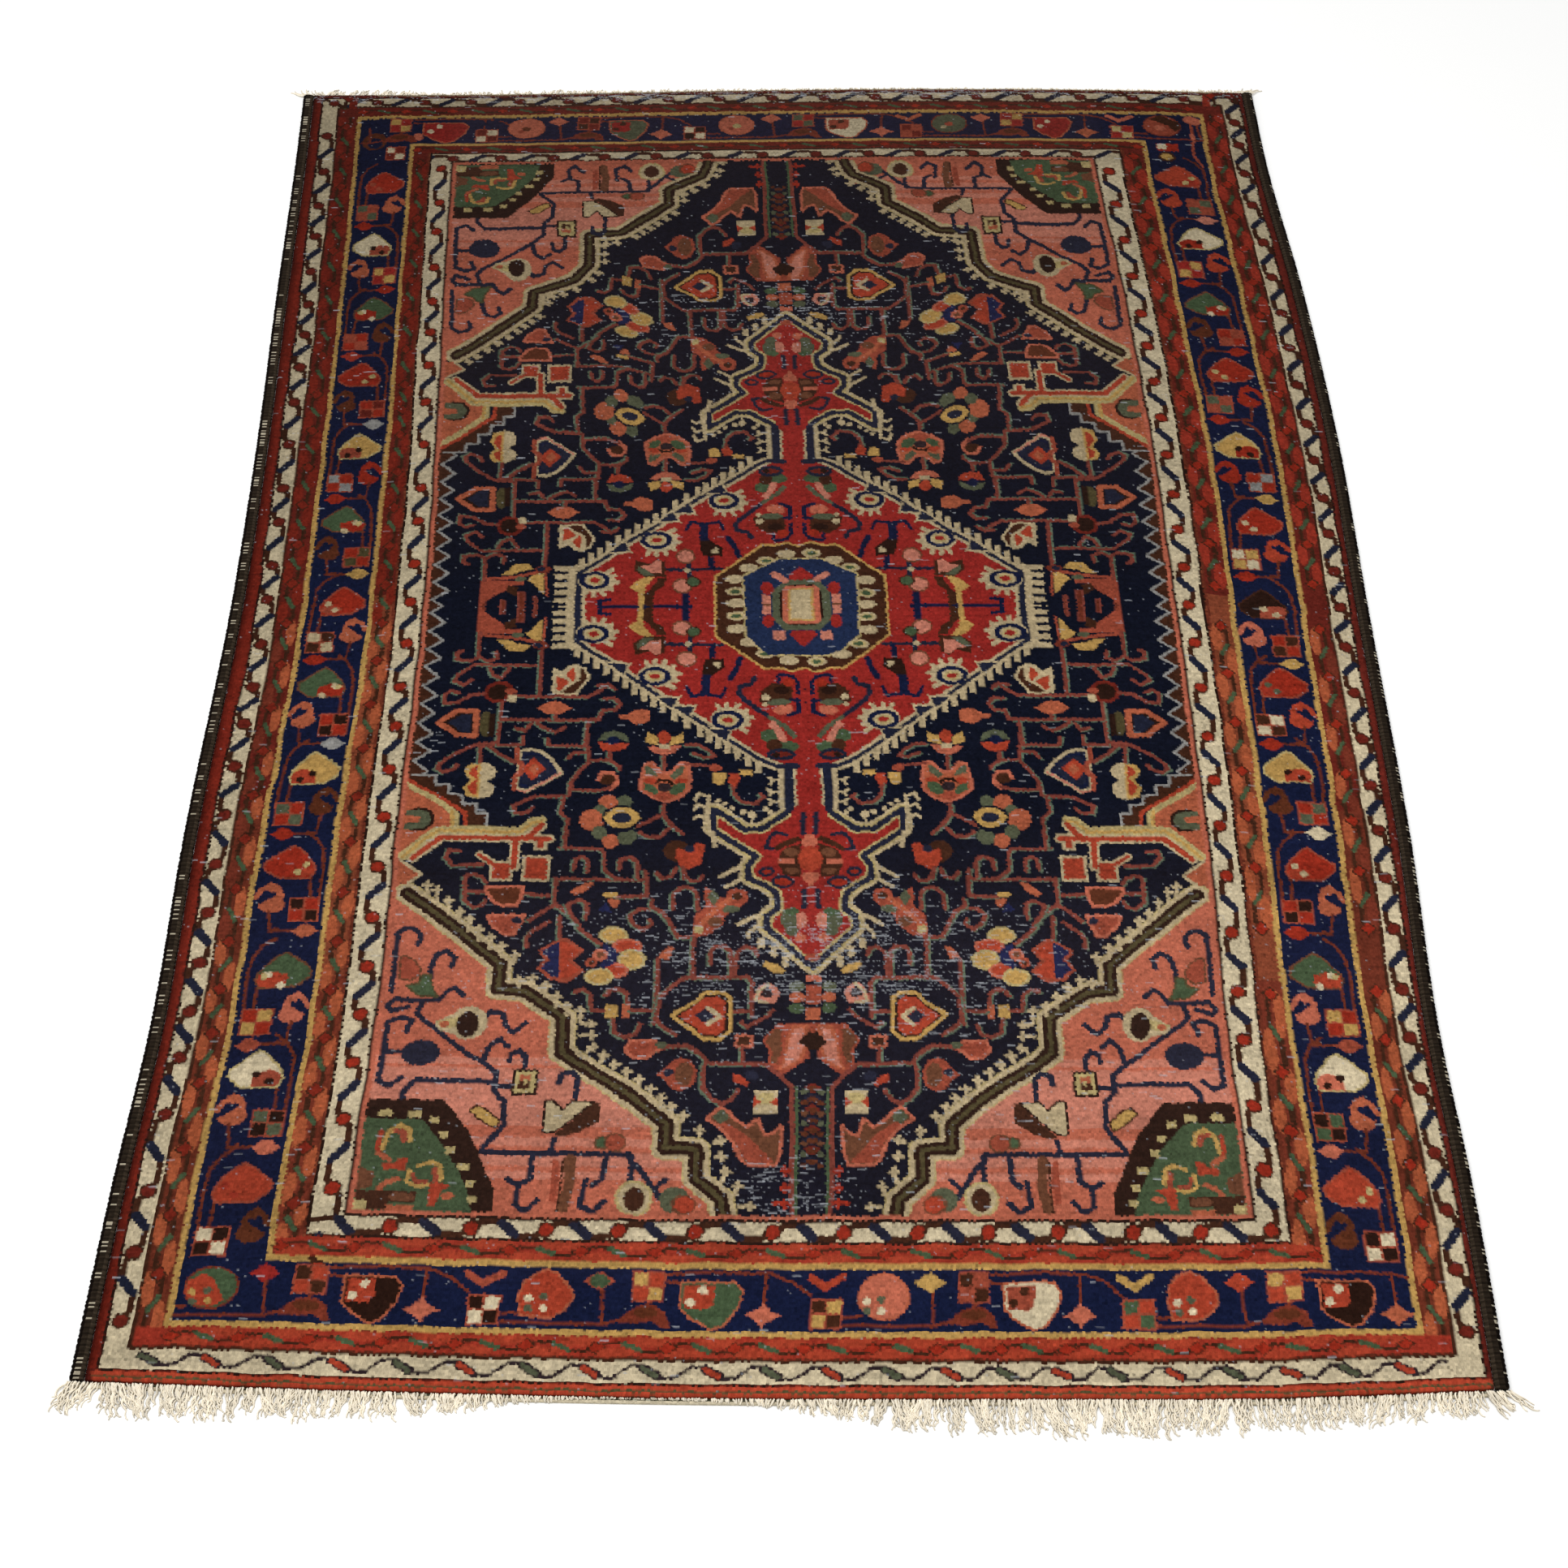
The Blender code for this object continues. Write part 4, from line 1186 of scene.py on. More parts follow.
# The navy vines on the salmon corner.
CORNER_VINES = [
    [(402, 503), (399, 492), (405, 484), (415, 482), (424, 490), (425, 563)],
    [(366, 530), (363, 518), (371, 511), (381, 515), (386, 532), (386, 546)],
    [(352, 566), (360, 557), (368, 562), (375, 573), (420, 573), (427, 581), (422, 588), (405, 582)],
    [(390, 573), (396, 590), (388, 600), (368, 615), (345, 634), (326, 647), (311, 660), (311, 680),
     (300, 694), (298, 722), (308, 738), (316, 750)],
    [(329, 595), (322, 586), (310, 590), (307, 604), (298, 611), (286, 600)],
    [(404, 612), (400, 599), (410, 595), (423, 601), (425, 672), (414, 678), (403, 668)],
    [(302, 628), (311, 619), (321, 629), (325, 646)],
    [(283, 657), (283, 642), (290, 633), (298, 637), (299, 646)],
    [(310, 672), (388, 671), (399, 684), (399, 696)],
    [(293, 676), (308, 676)],
    [(230, 692), (230, 666), (236, 659), (246, 662), (248, 672)],
    [(175, 754), (316, 753)],
    [(176, 755), (160, 775), (148, 796), (139, 809)],
    [(138, 781), (146, 790)],
    [(172, 757), (172, 784)],
    [(197, 757), (199, 782), (208, 790)],
    [(214, 784), (217, 812), (205, 819), (196, 808)],
    [(267, 756), (267, 783), (278, 790), (279, 812), (270, 819), (259, 806)],
    [(288, 784), (280, 790)],
    [(247, 738), (250, 752)],
    [(405, 637), (424, 637)],
]


def paint_corner_flowers(pen):
    """What stands on the salmon corner, between its vines."""
    for points in CORNER_VINES:
        pen.stroke("dusk", 6, *points)
    framed(pen, "umber", 1.5, "rust", (397, 535), (404, 524), (414, 518), (419, 520), (418, 546), (406, 549),
           (398, 543))
    framed(pen, "olive", 1.5, "green", (386, 541), (394, 543), (398, 552), (409, 556), (398, 566), (377, 569),
           (384, 556))
    pen.oval("cream", 343, 600, 18, 21)
    pen.shape("cream", (340, 584), (362, 592), (378, 602), (370, 611), (350, 617))
    pen.shape("straw", (352, 592), (376, 601), (369, 608), (354, 606))
    pen.oval("coral", 367, 603, 5, 4)
    pen.oval("dark", 344, 602, 11, 16)
    pen.block("dark", 338, 351, 592, 604)
    pen.oval("dusk", 387, 638, 20, 16)
    pen.block("dark", 268, 294, 656, 687)
    pen.block("straw", 271, 291, 659, 684)
    pen.block("bark", 276, 287, 664, 679)
    pen.block("coral", 276, 287, 663, 670)
    pen.block("straw", 278, 282, 668, 674)
    fish = [(213, 694), (234, 693), (241, 704), (252, 692), (259, 693), (259, 729), (247, 730), (234, 716)]
    framed(pen, "dark", 1.5, "cream", *fish)
    pen.shape("bark", (206, 694), (212, 694), (232, 717), (248, 734), (238, 736), (224, 730), (206, 716))
    framed(pen, "bark", 1.5, "yellow", (303, 716), (318, 702), (326, 700), (331, 706), (312, 723), (305, 725))
    pen.stroke("umber", 11, (231, 760), (229, 790), (233, 815))
    pen.stroke("rust", 8, (244, 764), (243, 806))
    pen.stroke("bark", 2, (237, 760), (238, 818))
    ring(pen, "umber", "green", 202, 741, 8, 2)
    ring(pen, "umber", "rust", 189, 741, 11, 2)
    ring(pen, "straw", "cream", 168, 803, 18, 3, 20)
    pen.oval("bark", 168, 804, 10, 13)
    pen.oval("sage", 130, 804, 14, 14)
    pen.oval("umber", 121, 810, 12, 11)
    pen.oval("orange", 120, 810, 9.5, 9)


def paint_green_quarter(pen):
    """The green quarter in the corner of the salmon, with its brown rim, and what stands on both."""
    pen.shape("dark", (299, 830), (299, 795), (312, 768), (330, 730), (352, 700), (360, 693), (433, 693),
              (433, 830))
    pen.shape("green", (318, 824), (325, 795), (350, 750), (375, 720), (385, 717), (433, 717), (433, 824))
    for s, t in ((385, 711), (412, 710), (365, 718), (353, 735), (345, 752), (331, 771), (322, 790),
                 (319, 808)):
        wide = 6 if s in (385, 412, 331) else 4.5
        pen.block("straw", s - wide, s + wide, t - 4, t + 4)
    pen.stroke("yellow", 5, (385, 742), (387, 730), (397, 725), (406, 732), (410, 752))
    pen.stroke("rust", 6, (391, 742), (392, 733), (400, 731))
    pen.stroke("orange", 5, (413, 732), (415, 750), (411, 757))
    pen.stroke("coral", 6, (402, 764), (413, 757))
    pen.shape("orange", (384, 762), (392, 762), (398, 768), (408, 768), (407, 776), (386, 776))
    pen.stroke("yellow", 4.5, (374, 770), (364, 765), (354, 768), (351, 786))
    pen.stroke("rust", 5.5, (358, 774), (356, 788))
    pen.stroke("yellow", 4.5, (382, 776), (383, 790), (372, 794), (364, 792))
    pen.stroke("rust", 5, (378, 780), (376, 788), (366, 788))
    pen.shape("orange", (341, 792), (362, 789), (362, 815), (354, 815), (350, 800))
    pen.oval("coral", 343, 804, 6, 4)
    pen.stroke("coral", 6, (392, 787), (402, 791), (408, 799))
    pen.shape("umber", (430, 772), (414, 780), (414, 796), (430, 800))
    pen.shape("bark", (372, 800), (430, 800), (430, 820), (400, 820), (396, 812), (374, 812))
    pen.oval("umber", 386, 806, 12, 5)
    pen.block("coral", 374, 399, 815, 824)
    pen.block("straw", 418, 431, 810, 822)


def paint_corner(pen, band):
    """The salmon corner with its stepped band of cream, brown and olive."""
    pen.shape("salmon", *band, (437, 828), (437, 410))
    for low, high in ((642, 651), (655, 723), (736, 746), (752, 768), (774, 783)):
        pen.shape("rose", *[(s, min(max(t, low), high)) for s, t in [*band, (437, 828), (437, 435)]])
    for colour, width in (("straw", 27), ("cream", 24), ("dark", 15), ("olive", 5)):
        pen.stroke(colour, width, *band)


def paint_field(pen):
    """Everything inside the frames, in one quarter, but the corner."""
    paint_lower_flowers(pen)
    paint_near_flowers(pen)
    paint_upper_flowers(pen)
    paint_side_flowers(pen)
    paint_side_notch(pen)
    paint_pocket(pen)
    paint_medallion(pen)
    paint_medallion_vines(pen)
    paint_pendant(pen)
    paint_lamp(pen)
    paint_column(pen)


# ---- The whole chart ----

# The field's far half repeats the near half, but not at its own distance. Columns: how far a row
# lies beyond the chart's middle, and how far out the same row lies in the near half, first along
# the medallion and its pendants, then beside them.
FOLD = 15
FAR_ROWS_MIDDLE = [(-FOLD, FOLD), (250, 280), (580, 611), (620, 644), (660, 678), (700, 711), (740, 744),
                   (821, 821), (1000, 1000)]
FAR_ROWS_BESIDE = [(-FOLD, FOLD), (180, 210), (220, 246), (260, 283), (300, 315), (340, 350), (380, 388),
                   (420, 429), (460, 473), (500, 514), (540, 549), (580, 587), (660, 664), (700, 705),
                   (780, 784), (821, 821), (1000, 1000)]


# The same for what stands on the salmon of the far corners.
FAR_CORNER_ROWS = [(0, 0), (400, 410), (540, 552), (601, 603), (636, 638), (682, 672), (723, 713), (756, 753),
                   (795, 803), (821, 826), (1000, 1000)]


def fold_far(cells, across, along):
    """Fills the far half, and the strip of the near half beyond the medallion's middle, from the near half.

    Each cell takes the cell of its own column in the row that the tables give, and between the
    two tables the rows pass over smoothly.
    """
    rows = np.flatnonzero(along < FOLD)
    beside = np.clip((np.abs(across) - 150) / 80, 0, 1)
    beside = beside * beside * (3 - 2 * beside)
    tables = (FAR_ROWS_MIDDLE, FAR_ROWS_BESIDE)
    out_middle, out_beside = [np.interp(-along[rows], *zip(*table)) for table in tables]
    source = out_middle[:, None] * (1 - beside) + out_beside[:, None] * beside
    source = np.clip(np.searchsorted(along, source), 0, len(along) - 1)
    cells[rows] = cells[source, np.arange(len(across))]


# How far the side borders have wandered to the right, by row: place along, millimetres.
LEFT_SLIDE = [(-1000, 3.5), (-900, 4), (-700, 5.5), (-500, 7.5), (-300, 4.5), (-100, 5), (100, 7.5),
              (300, 5.3), (500, 3), (700, 1), (1000, 0.5)]
RIGHT_SLIDE = [(-1000, 4.5), (-900, 4.5), (-700, 1.7), (-500, 0.2), (-300, 2), (-100, 3.5), (100, 2.2),
               (300, 1.3), (500, 4), (700, 5), (1000, 5)]


def slide_sides(cells, across, along):
    """Lets the side borders wander as the weaver's did: each row is slid by its own few millimetres.

    A cell takes the cell that lies the slide further to the left. The slide grows from nothing
    beside the field to its full length part way over the border.
    """
    left, right = [np.interp(along, *zip(*table))[:, None] for table in (LEFT_SLIDE, RIGHT_SLIDE)]
    places = across - left * np.clip((-across - 440) / 135, 0, 1) - right * np.clip((across - 440) / 60, 0, 1)
    columns = np.clip(np.searchsorted(across, places), 0, len(across) - 1)
    return np.take_along_axis(cells, columns, 1)


def whole_chart():
    """The finished chart: the field is drawn in one quarter and folded out, the borders run round it."""
    cells, across, along = blank_chart()
    half_columns, half_rows = KNOTS_ACROSS, KNOTS_ALONG
    quarter = Pen(cells[half_rows:, half_columns:], across[half_columns:], along[half_rows:], seed=11)
    for colour, reach_s, reach_t in FRAMES:
        quarter.block(colour, -9, reach_s, -9, reach_t)
    paint_field(Pen(quarter.cells, quarter.across, quarter.along, seed=19, ground="midnight"))
    cells[:, :half_columns] = cells[:, half_columns:][:, ::-1]
    fold_far(cells, across, along)
    paint_octagon(Pen(cells, across, along - FOLD, seed=9))
    out = along[half_rows:]
    slid_out = np.interp(out, *zip(*FAR_CORNER_ROWS))
    for part, band, crosses, flower_rows in (
        (cells[half_rows:], CORNER_BAND, CROSSLETS, out),
        (cells[:half_rows][::-1], FAR_CORNER_BAND, crosslets_beside(FAR_CORNER_BAND), slid_out),
    ):
        for view in (part[:, half_columns:], part[:, :half_columns][:, ::-1]):
            plain = Pen(view, across[half_columns:], out, seed=21, ground="midnight")
            slid = Pen(view, across[half_columns:], flower_rows, seed=21, ground="midnight")
            paint_corner(plain, band)
            paint_corner_flowers(slid)
            paint_green_quarter(slid)
            paint_crosslets(plain, crosses)
    near_border = Pen(cells[half_rows:], across, along[half_rows:], seed=13, ground="indigo")
    far_border = Pen(cells[:half_rows], across, along[:half_rows] + END_DROP, seed=15, ground="indigo")
    sides = {
        "right": (cells[:, half_columns:], across[half_columns:]),
        "left": (cells[:, :half_columns][:, ::-1], -across[:half_columns][::-1]),
    }
    for (side, (part, places)), flowers in zip(sides.items(), (RIGHT_FLOWERS, LEFT_FLOWERS)):
        border = Pen(part, places, along, seed=12, ground="indigo")
        for flower in flowers:
            side_flower(border, *flower)
        if side == "left":
            Pen(part, places, along, seed=12).block("garnet", 637, 660, -984, 984)
        paint_side_guards(Pen(part, places, along, seed=16), side)
    near, far, near_white, far_white = [
        Pen(part, across, places, seed, ground)
        for ground in (None, "ivory")
        for part, places, seed in ((cells[half_rows:], along[half_rows:], 17),
                                   (cells[:half_rows][::-1], -along[:half_rows][::-1], 18))
    ]
    near.block("ivory", -466, -441, 827, 845)
    near.block("orange", -638, 638, 987, 999)
    near_white.open[...] = near.cells == DYES.index("ivory")
    paint_end_guards(near, far, near_white, far_white)
    corner_marks(Pen(cells[:half_rows], across, along[:half_rows], seed=14, ground="indigo"))
    for flowers in NEAR_END_FLOWERS:
        end_flowers(near_border, *flowers)
    for flowers in FAR_END_FLOWERS:
        end_flowers(far_border, *flowers)
    return slide_sides(cells, across, along), across, along


# ---- The shape of the rug ----


def along_table(table, column, at):
    """The value of one column of a table at many places, straight between its rows."""
    return np.interp(at, [row[0] for row in table], [row[column] for row in table])


def smooth_curve(table, column, at):
    """The value of one column of a table at many places, on a cubic curve through the table's rows.

    A row's slope comes from the rows on either side of it.
    """
    places = np.array([row[0] for row in table])
    values = np.array([row[column] for row in table])
    slopes = np.gradient(values, places)
    at = np.clip(at, places[0], places[-1])
    i = np.clip(np.searchsorted(places, at, side="right") - 1, 0, len(places) - 2)
    span = places[i + 1] - places[i]
    t = (at - places[i]) / span
    return (
        values[i] * (2 * t**3 - 3 * t**2 + 1)
        + values[i + 1] * (3 * t**2 - 2 * t**3)
        + slopes[i] * span * (t**3 - 2 * t**2 + t)
        + slopes[i + 1] * span * (t**3 - t**2)
    )


def on_rug(u, v, inward=0.0, outward=0.0):
    """The floor points at shares u across and v along the rug, each from -1 to 1.

    The straight rectangle is bent so that its edges follow the two wander tables. inward draws
    the points in from the long edges, and outward pushes them past the ends.
    """
    x = u * (RUG_WIDTH / 2 - inward)
    y = v * (PILE_LENGTH / 2 + outward)
    left = smooth_curve(SIDE_WANDER, 1, v * PILE_LENGTH / 2)
    right = smooth_curve(SIDE_WANDER, 2, v * PILE_LENGTH / 2)
    near = smooth_curve(END_WANDER, 1, u * RUG_WIDTH / 2)
    far = smooth_curve(END_WANDER, 2, u * RUG_WIDTH / 2)
    x = x + (left * (1 - u) + right * (1 + u)) / 2
    y = y + (near * (1 - v) + far * (1 + v)) / 2
    return PILE_MIDDLE_X + x, PILE_MIDDLE_Y + y


def chart_to_rug(s, t):
    """The floor points of places on the chart, given in metres.

    The drawing is slid by its lean, in full over the field and fading to nothing at the edges,
    and then bent with the rug.
    """
    slide = np.minimum(
        along_table(SLIDE_ACROSS, 1, np.abs(s)),
        along_table(SLIDE_ALONG, 1, np.abs(t)),
    )
    up = DRAWING_RISE * slide - t
    outward = np.clip(np.abs(s) / FIELD_HALF_WIDTH, 0, 1)
    lean = (1 - outward) * along_table(MIDDLE_LEAN, 1, up) + outward * along_table(FRAME_LEAN, 1, up)
    inward = CORD_WIDTH + GAP
    return on_rug((s + lean * slide) / (RUG_WIDTH / 2 - CORD_WIDTH), up / (PILE_LENGTH / 2), inward)


# ---- Mesh work ----

RIPPLE_SINES = 5


def ripples(x, y, wavelength, seed):
    """A smooth uneven field between about -1 and 1: the mean of sines that run in random directions."""
    dice = np.random.default_rng(seed)
    total = np.zeros(np.broadcast(x, y).shape)
    for _ in range(RIPPLE_SINES):
        heading, phase = dice.uniform(0, 2 * math.pi, 2)
        pitch = wavelength * dice.uniform(0.7, 1.5)
        total += np.sin(2 * math.pi * (x * math.cos(heading) + y * math.sin(heading)) / pitch + phase)
    return total / RIPPLE_SINES * 1.6


def grid_faces(rows, columns, closed=False):
    """The faces of a grid of points in rows, as point numbers; closed joins the last column to the first."""
    numbers = np.arange(rows * columns).reshape(rows, columns)
    following = np.roll(numbers, -1, 1)
    if not closed:
        numbers, following = numbers[:, :-1], following[:, :-1]
    return np.stack([numbers[:-1], numbers[1:], following[1:], following[:-1]], -1).reshape(-1, 4)


def build(name, points, faces, finish, colours, places=None):
    """A piece of the rug from arrays: its points, its faces of one or more lengths, its colour at each
    corner of each face, and that corner's place on the piece's own map."""
    groups = faces if isinstance(faces, list) else [faces]
    corners = np.concatenate([group.ravel() for group in groups])
    lengths = np.concatenate([np.full(len(group), group.shape[1]) for group in groups])
    mesh = bpy.data.meshes.new(name)
    mesh.vertices.add(len(points))
    mesh.vertices.foreach_set("co", np.ascontiguousarray(points, np.float32).ravel())
    mesh.loops.add(len(corners))
    mesh.loops.foreach_set("vertex_index", corners.astype(np.int32))
    mesh.polygons.add(len(lengths))
    mesh.polygons.foreach_set("loop_start", np.concatenate([[0], np.cumsum(lengths)[:-1]]).astype(np.int32))
    mesh.polygons.foreach_set("use_smooth", np.ones(len(lengths), bool))
    wool = mesh.color_attributes.new("wool", "FLOAT_COLOR", "CORNER")
    rgba = np.ones((len(corners), 4), np.float32)
    rgba[:, :3] = colours.reshape(-1, 3)
    wool.data.foreach_set("color", rgba.ravel())
    if places is not None:
        layer = mesh.uv_layers.new(name="OFBake")
        layer.data.foreach_set("uv", places.astype(np.float32).ravel())
    mesh.update()
    mesh.validate()
    mesh.materials.append(finish)
    made = bpy.data.objects.new(name, mesh)
    bpy.context.scene.collection.objects.link(made)
    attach(made, "root")
    return made


def linear(colour):
    """Colours from sRGB numbers to light: the power curve of the standard, with its straight foot."""
    share = np.asarray(colour, float) / 255
    return np.where(share <= 0.04045, share / 12.92, ((share + 0.055) / 1.055) ** 2.4)


# ---- Finishes ----

FIBRE_HEIGHT = 0.0006


def add(nodes, kind, place, *ordered, operation=None, **named):
    """A shader node at a place on the sheet. Its inputs, in order or by name, are set or linked."""
    node = nodes.new(kind)
    node.location = place
    if operation:
        node.operation = operation
    for socket, value in (*enumerate(ordered), *named.items()):
        into = node.inputs[socket if isinstance(socket, int) else socket.replace("_", " ")]
        if isinstance(value, bpy.types.NodeSocket):
            node.id_data.links.new(value, into)
        else:
            into.default_value = value
    return node


def yarn_finish(name, fibre_scale=900.0, fibre_stretch=(1.0, 0.35, 1.0), strength=0.6, spread=0.22):
    """Wool or cotton: its colour from the piece's own attribute, broken by fine fibres.

    Two noises, one of fibres drawn out along the rug and one of clumps, darken and lighten the
    colour, and the same fibres raise the surface.
    """
    made = bpy.data.materials.new(name)
    made.use_nodes = True
    nodes, links = made.node_tree.nodes, made.node_tree.links
    place = add(nodes, "ShaderNodeTexCoord", (-1300, 0)).outputs["Object"]
    drawn_out = add(nodes, "ShaderNodeMapping", (-1100, 0), Vector=place, Scale=fibre_stretch)
    fibres = add(nodes, "ShaderNodeTexNoise", (-900, 100), Vector=drawn_out.outputs["Vector"],
                 Scale=fibre_scale, Detail=3.0, Roughness=0.6)
    clumps = add(nodes, "ShaderNodeTexNoise", (-900, -200), Vector=place, Scale=fibre_scale / 6, Detail=2.0)
    both = add(nodes, "ShaderNodeMath", (-700, 0), fibres.outputs["Fac"], clumps.outputs["Fac"],
               operation="ADD").outputs[0]
    bright = add(nodes, "ShaderNodeMapRange", (-520, 0), Value=both, From_Min=0.7, From_Max=1.3,
                 To_Min=1 - spread, To_Max=1 + spread)
    wool = add(nodes, "ShaderNodeAttribute", (-700, 300))
    wool.attribute_name = "wool"
    tint = add(nodes, "ShaderNodeVectorMath", (-320, 100), wool.outputs["Color"], operation="SCALE",
               Scale=bright.outputs["Result"])
    bump = add(nodes, "ShaderNodeBump", (-320, -300), Height=both, Strength=strength, Distance=FIBRE_HEIGHT)
    shader = nodes["Principled BSDF"]
    settings = {"Roughness": 0.95, "Specular IOR Level": 0.02, "Sheen Weight": 0.004, "Sheen Roughness": 0.55}
    for socket, value in settings.items():
        shader.inputs[socket].default_value = value
    links.new(tint.outputs["Vector"], shader.inputs["Base Color"])
    links.new(bump.outputs["Normal"], shader.inputs["Normal"])
    return made


# ---- The pile ----

# How bright the pile is made along the rug and across it, and how much dust of the worn
# foundation lies over the field. Across, the drop in the last millimetres at each long edge is
# painted shade, where the pile meets the cord. Columns: place in millimetres, share.
BRIGHT_ALONG = [(-995, 0.54), (-850, 0.57), (-525, 0.65), (-175, 0.76), (175, 0.93), (525, 1.0), (850, 1.0),
                (980, 1.04), (988, 1.3)]
BRIGHT_AND_EDGE_SHADE_ACROSS = [(-645, 0.22), (-641, 0.50), (-636, 0.80), (-440, 0.88), (0, 0.98), (642, 1.03), (645, 0.85)]
DUST_ALONG = [(-995, 0.04), (-700, 0.02), (-400, 0.025), (0, 0.0), (300, 0.0), (500, 0.03), (820, 0.02),
              (900, 0.0)]
DUST = (140, 112, 100)
LIGHT_ON_RUG = 1.24  # how bright the lamp and the sky make a white rug

# Where the pile is worn through to the weft.
# Columns: place across, place along, reach across, reach along, share of bare cells.
WORN_PATCHES = [
    (0, 500, 200, 50, 0.10),
    (60, 560, 190, 35, 0.05),
    (-20, 790, 50, 25, 0.12),
    (20, 640, 280, 120, 0.012),
    (0, -520, 130, 35, 0.05),
    (0, -500, 280, 110, 0.012),
    (0, -985, 600, 10, 0.20),
]
BARE_SHARE = 0.003  # of the cells that lie away from the patches
DASH = 6  # cells, the length of a bare dash


def bare_weft(s, t):
    """How much of each cell's wool has gone, from 0 to 1, in single specks and in dashes along a weft.

    The chance of a bare cell is a small share everywhere, plus a soft hill over each worn patch,
    times a noise that gathers the specks into clouds and another that differs from row to row.
    """
    dice = np.random.default_rng(24)
    chance = np.full(s.shape, BARE_SHARE)
    for place_s, place_t, reach_s, reach_t, share in WORN_PATCHES:
        chance += share * np.exp(-(((s - place_s) / reach_s) ** 2) - ((t - place_t) / reach_t) ** 2)
    chance *= np.clip(1 + 0.9 * ripples(s / 1000, t / 1000, 0.045, 25), 0.1, 3)
    chance *= np.exp(dice.normal(0, 0.7, (s.shape[0], 1)))
    count = s.shape[1] // DASH + 2
    run = (np.arange(s.shape[1])[None, :] + dice.integers(0, DASH, (s.shape[0], 1))) // DASH
    dashes = np.take_along_axis(dice.random((s.shape[0], count)), run, 1) < 0.7 * chance
    depth = np.take_along_axis(dice.uniform(0.15, 0.7, (s.shape[0], count)), run, 1)
    specks = dice.random(s.shape) < 0.6 * chance
    return np.maximum(dashes * depth, specks * 0.5)


# How far the wool's brightness strays from one dye lot, weft row and knot to the next, and in patches.
LOT_STRAY = 0.05
ROW_STRAY = 0.035
KNOT_STRAY = 0.11
BROAD_PATCH = 0.07
SMALL_PATCH = 0.05
DYE_LOTS = 150  # along the rug
BORDER_DUST = 0.25  # as a share of the field's


def dyed_cells(cells, across, along):
    """The light of every cell of the chart: its wool, with painted shade at the long edges.

    Each colour's brightness drifts from one weft row to the next, as dye lots change, wanders in
    broad patches, and jumps a little from knot to knot. The far part is darker and dustier, the last
    millimetres at each long edge are darkened as painted shade, and where the pile has gone the pale
    weft shows.
    """
    dice = np.random.default_rng(21)
    light = linear([WOOL[name] for name in DYES])[cells] / LIGHT_ON_RUG
    s, t = across[None, :] / 1000, along[:, None] / 1000
    lot_places = np.linspace(along[0], along[-1], DYE_LOTS)
    lots = np.interp(along, lot_places, dice.normal(0, LOT_STRAY, DYE_LOTS))[:, None]
    rows = dice.normal(0, ROW_STRAY, KNOTS_ALONG).repeat(2)[:, None]
    knots = dice.normal(0, KNOT_STRAY, (KNOTS_ALONG, KNOTS_ACROSS)).repeat(2, 0).repeat(2, 1)
    patches = BROAD_PATCH * ripples(s, t, 0.16, 22) + SMALL_PATCH * ripples(s * 3, t, 0.09, 23)
    brightness = np.clip(1 + lots + rows + knots + patches, 0.5, 1.6)
    # Brightness along and across the rug; the across table also holds the painted shade at each long edge.
    tone = along_table(BRIGHT_ALONG, 1, along)[:, None] * along_table(BRIGHT_AND_EDGE_SHADE_ACROSS, 1, across)
    light = light * (brightness * tone)[..., None]
    in_field = np.clip((470 - np.abs(across)) / 40, BORDER_DUST, 1)
    dust = (along_table(DUST_ALONG, 1, along)[:, None] * in_field)[..., None]
    light = light * (1 - dust) + linear(DUST) / LIGHT_ON_RUG * dust
    bare = bare_weft(*np.broadcast_arrays(across[None, :], along[:, None]))[..., None]
    return light * (1 - bare) + linear(WOOL["weft"]) / LIGHT_ON_RUG * bare


def knot_corners(values):
    """Each knot's four cells, in the order of its face's corners: far and near left, near and far right."""
    return np.stack([values[::2, ::2], values[1::2, ::2], values[1::2, 1::2], values[::2, 1::2]], 2)


# How far the pile's top lies below the cloth's full thickness, and how much lower it is at its rim.
PILE_DROP = 0.0003
RIM_DROP = 0.0016
RIM_FOLD = 0.0030  # height of the ring half way down the rim

# How far a knot strays sideways and up, and how far a hand's width of them does.
KNOT_SHIFT = 0.0003
KNOT_RISE = 0.00018
HAND_SHIFT = 0.0009
HAND_RISE = 0.0002


def pile_points():
    """The corners of all the knots, with two more rings round them that fold down to the floor.

    Height is the pile's, less a worn rounding at the rim, plus an unevenness of a fraction of a
    millimetre from knot to knot and over the width of a hand.
    """
    dice = np.random.default_rng(31)
    s = np.linspace(-CHART_HALF_WIDTH, CHART_HALF_WIDTH, KNOTS_ACROSS + 1) / 1000
    t = np.linspace(-CHART_HALF_LENGTH, CHART_HALF_LENGTH, KNOTS_ALONG + 1) / 1000
    s, t = np.meshgrid(s, t)
    stray = dice.uniform(-1, 1, (2, *s.shape)) * KNOT_SHIFT
    inside = np.zeros(s.shape)
    inside[1:-1, 1:-1] = 1
    wave_s = HAND_SHIFT * ripples(s, t, 0.07, 32) * inside
    wave_t = HAND_SHIFT * ripples(s, t, 0.07, 33) * inside
    x, y = chart_to_rug(s, t)
    x = x + stray[0] * inside + wave_s
    y = y + stray[1] * inside + wave_t
    uneven = HAND_RISE * ripples(s, t, 0.05, 34) + dice.uniform(-1, 1, s.shape) * KNOT_RISE
    z = np.where(inside > 0, CLOTH_THICKNESS - PILE_DROP + uneven, CLOTH_THICKNESS - RIM_DROP)
    points = np.pad(np.stack([x, y, z], -1), ((2, 2), (2, 2), (0, 0)), mode="edge")
    for ring, height in ((1, RIM_FOLD), (0, 0.0)):
        last_row, last_column = points.shape[0] - 1 - ring, points.shape[1] - 1 - ring
        points[[ring, last_row], ring : last_column + 1, 2] = height
        points[ring : last_row + 1, [ring, last_column], 2] = height
    return points


MAP_EDGE = 0.002  # how far a piece's map stays from the edge of its square


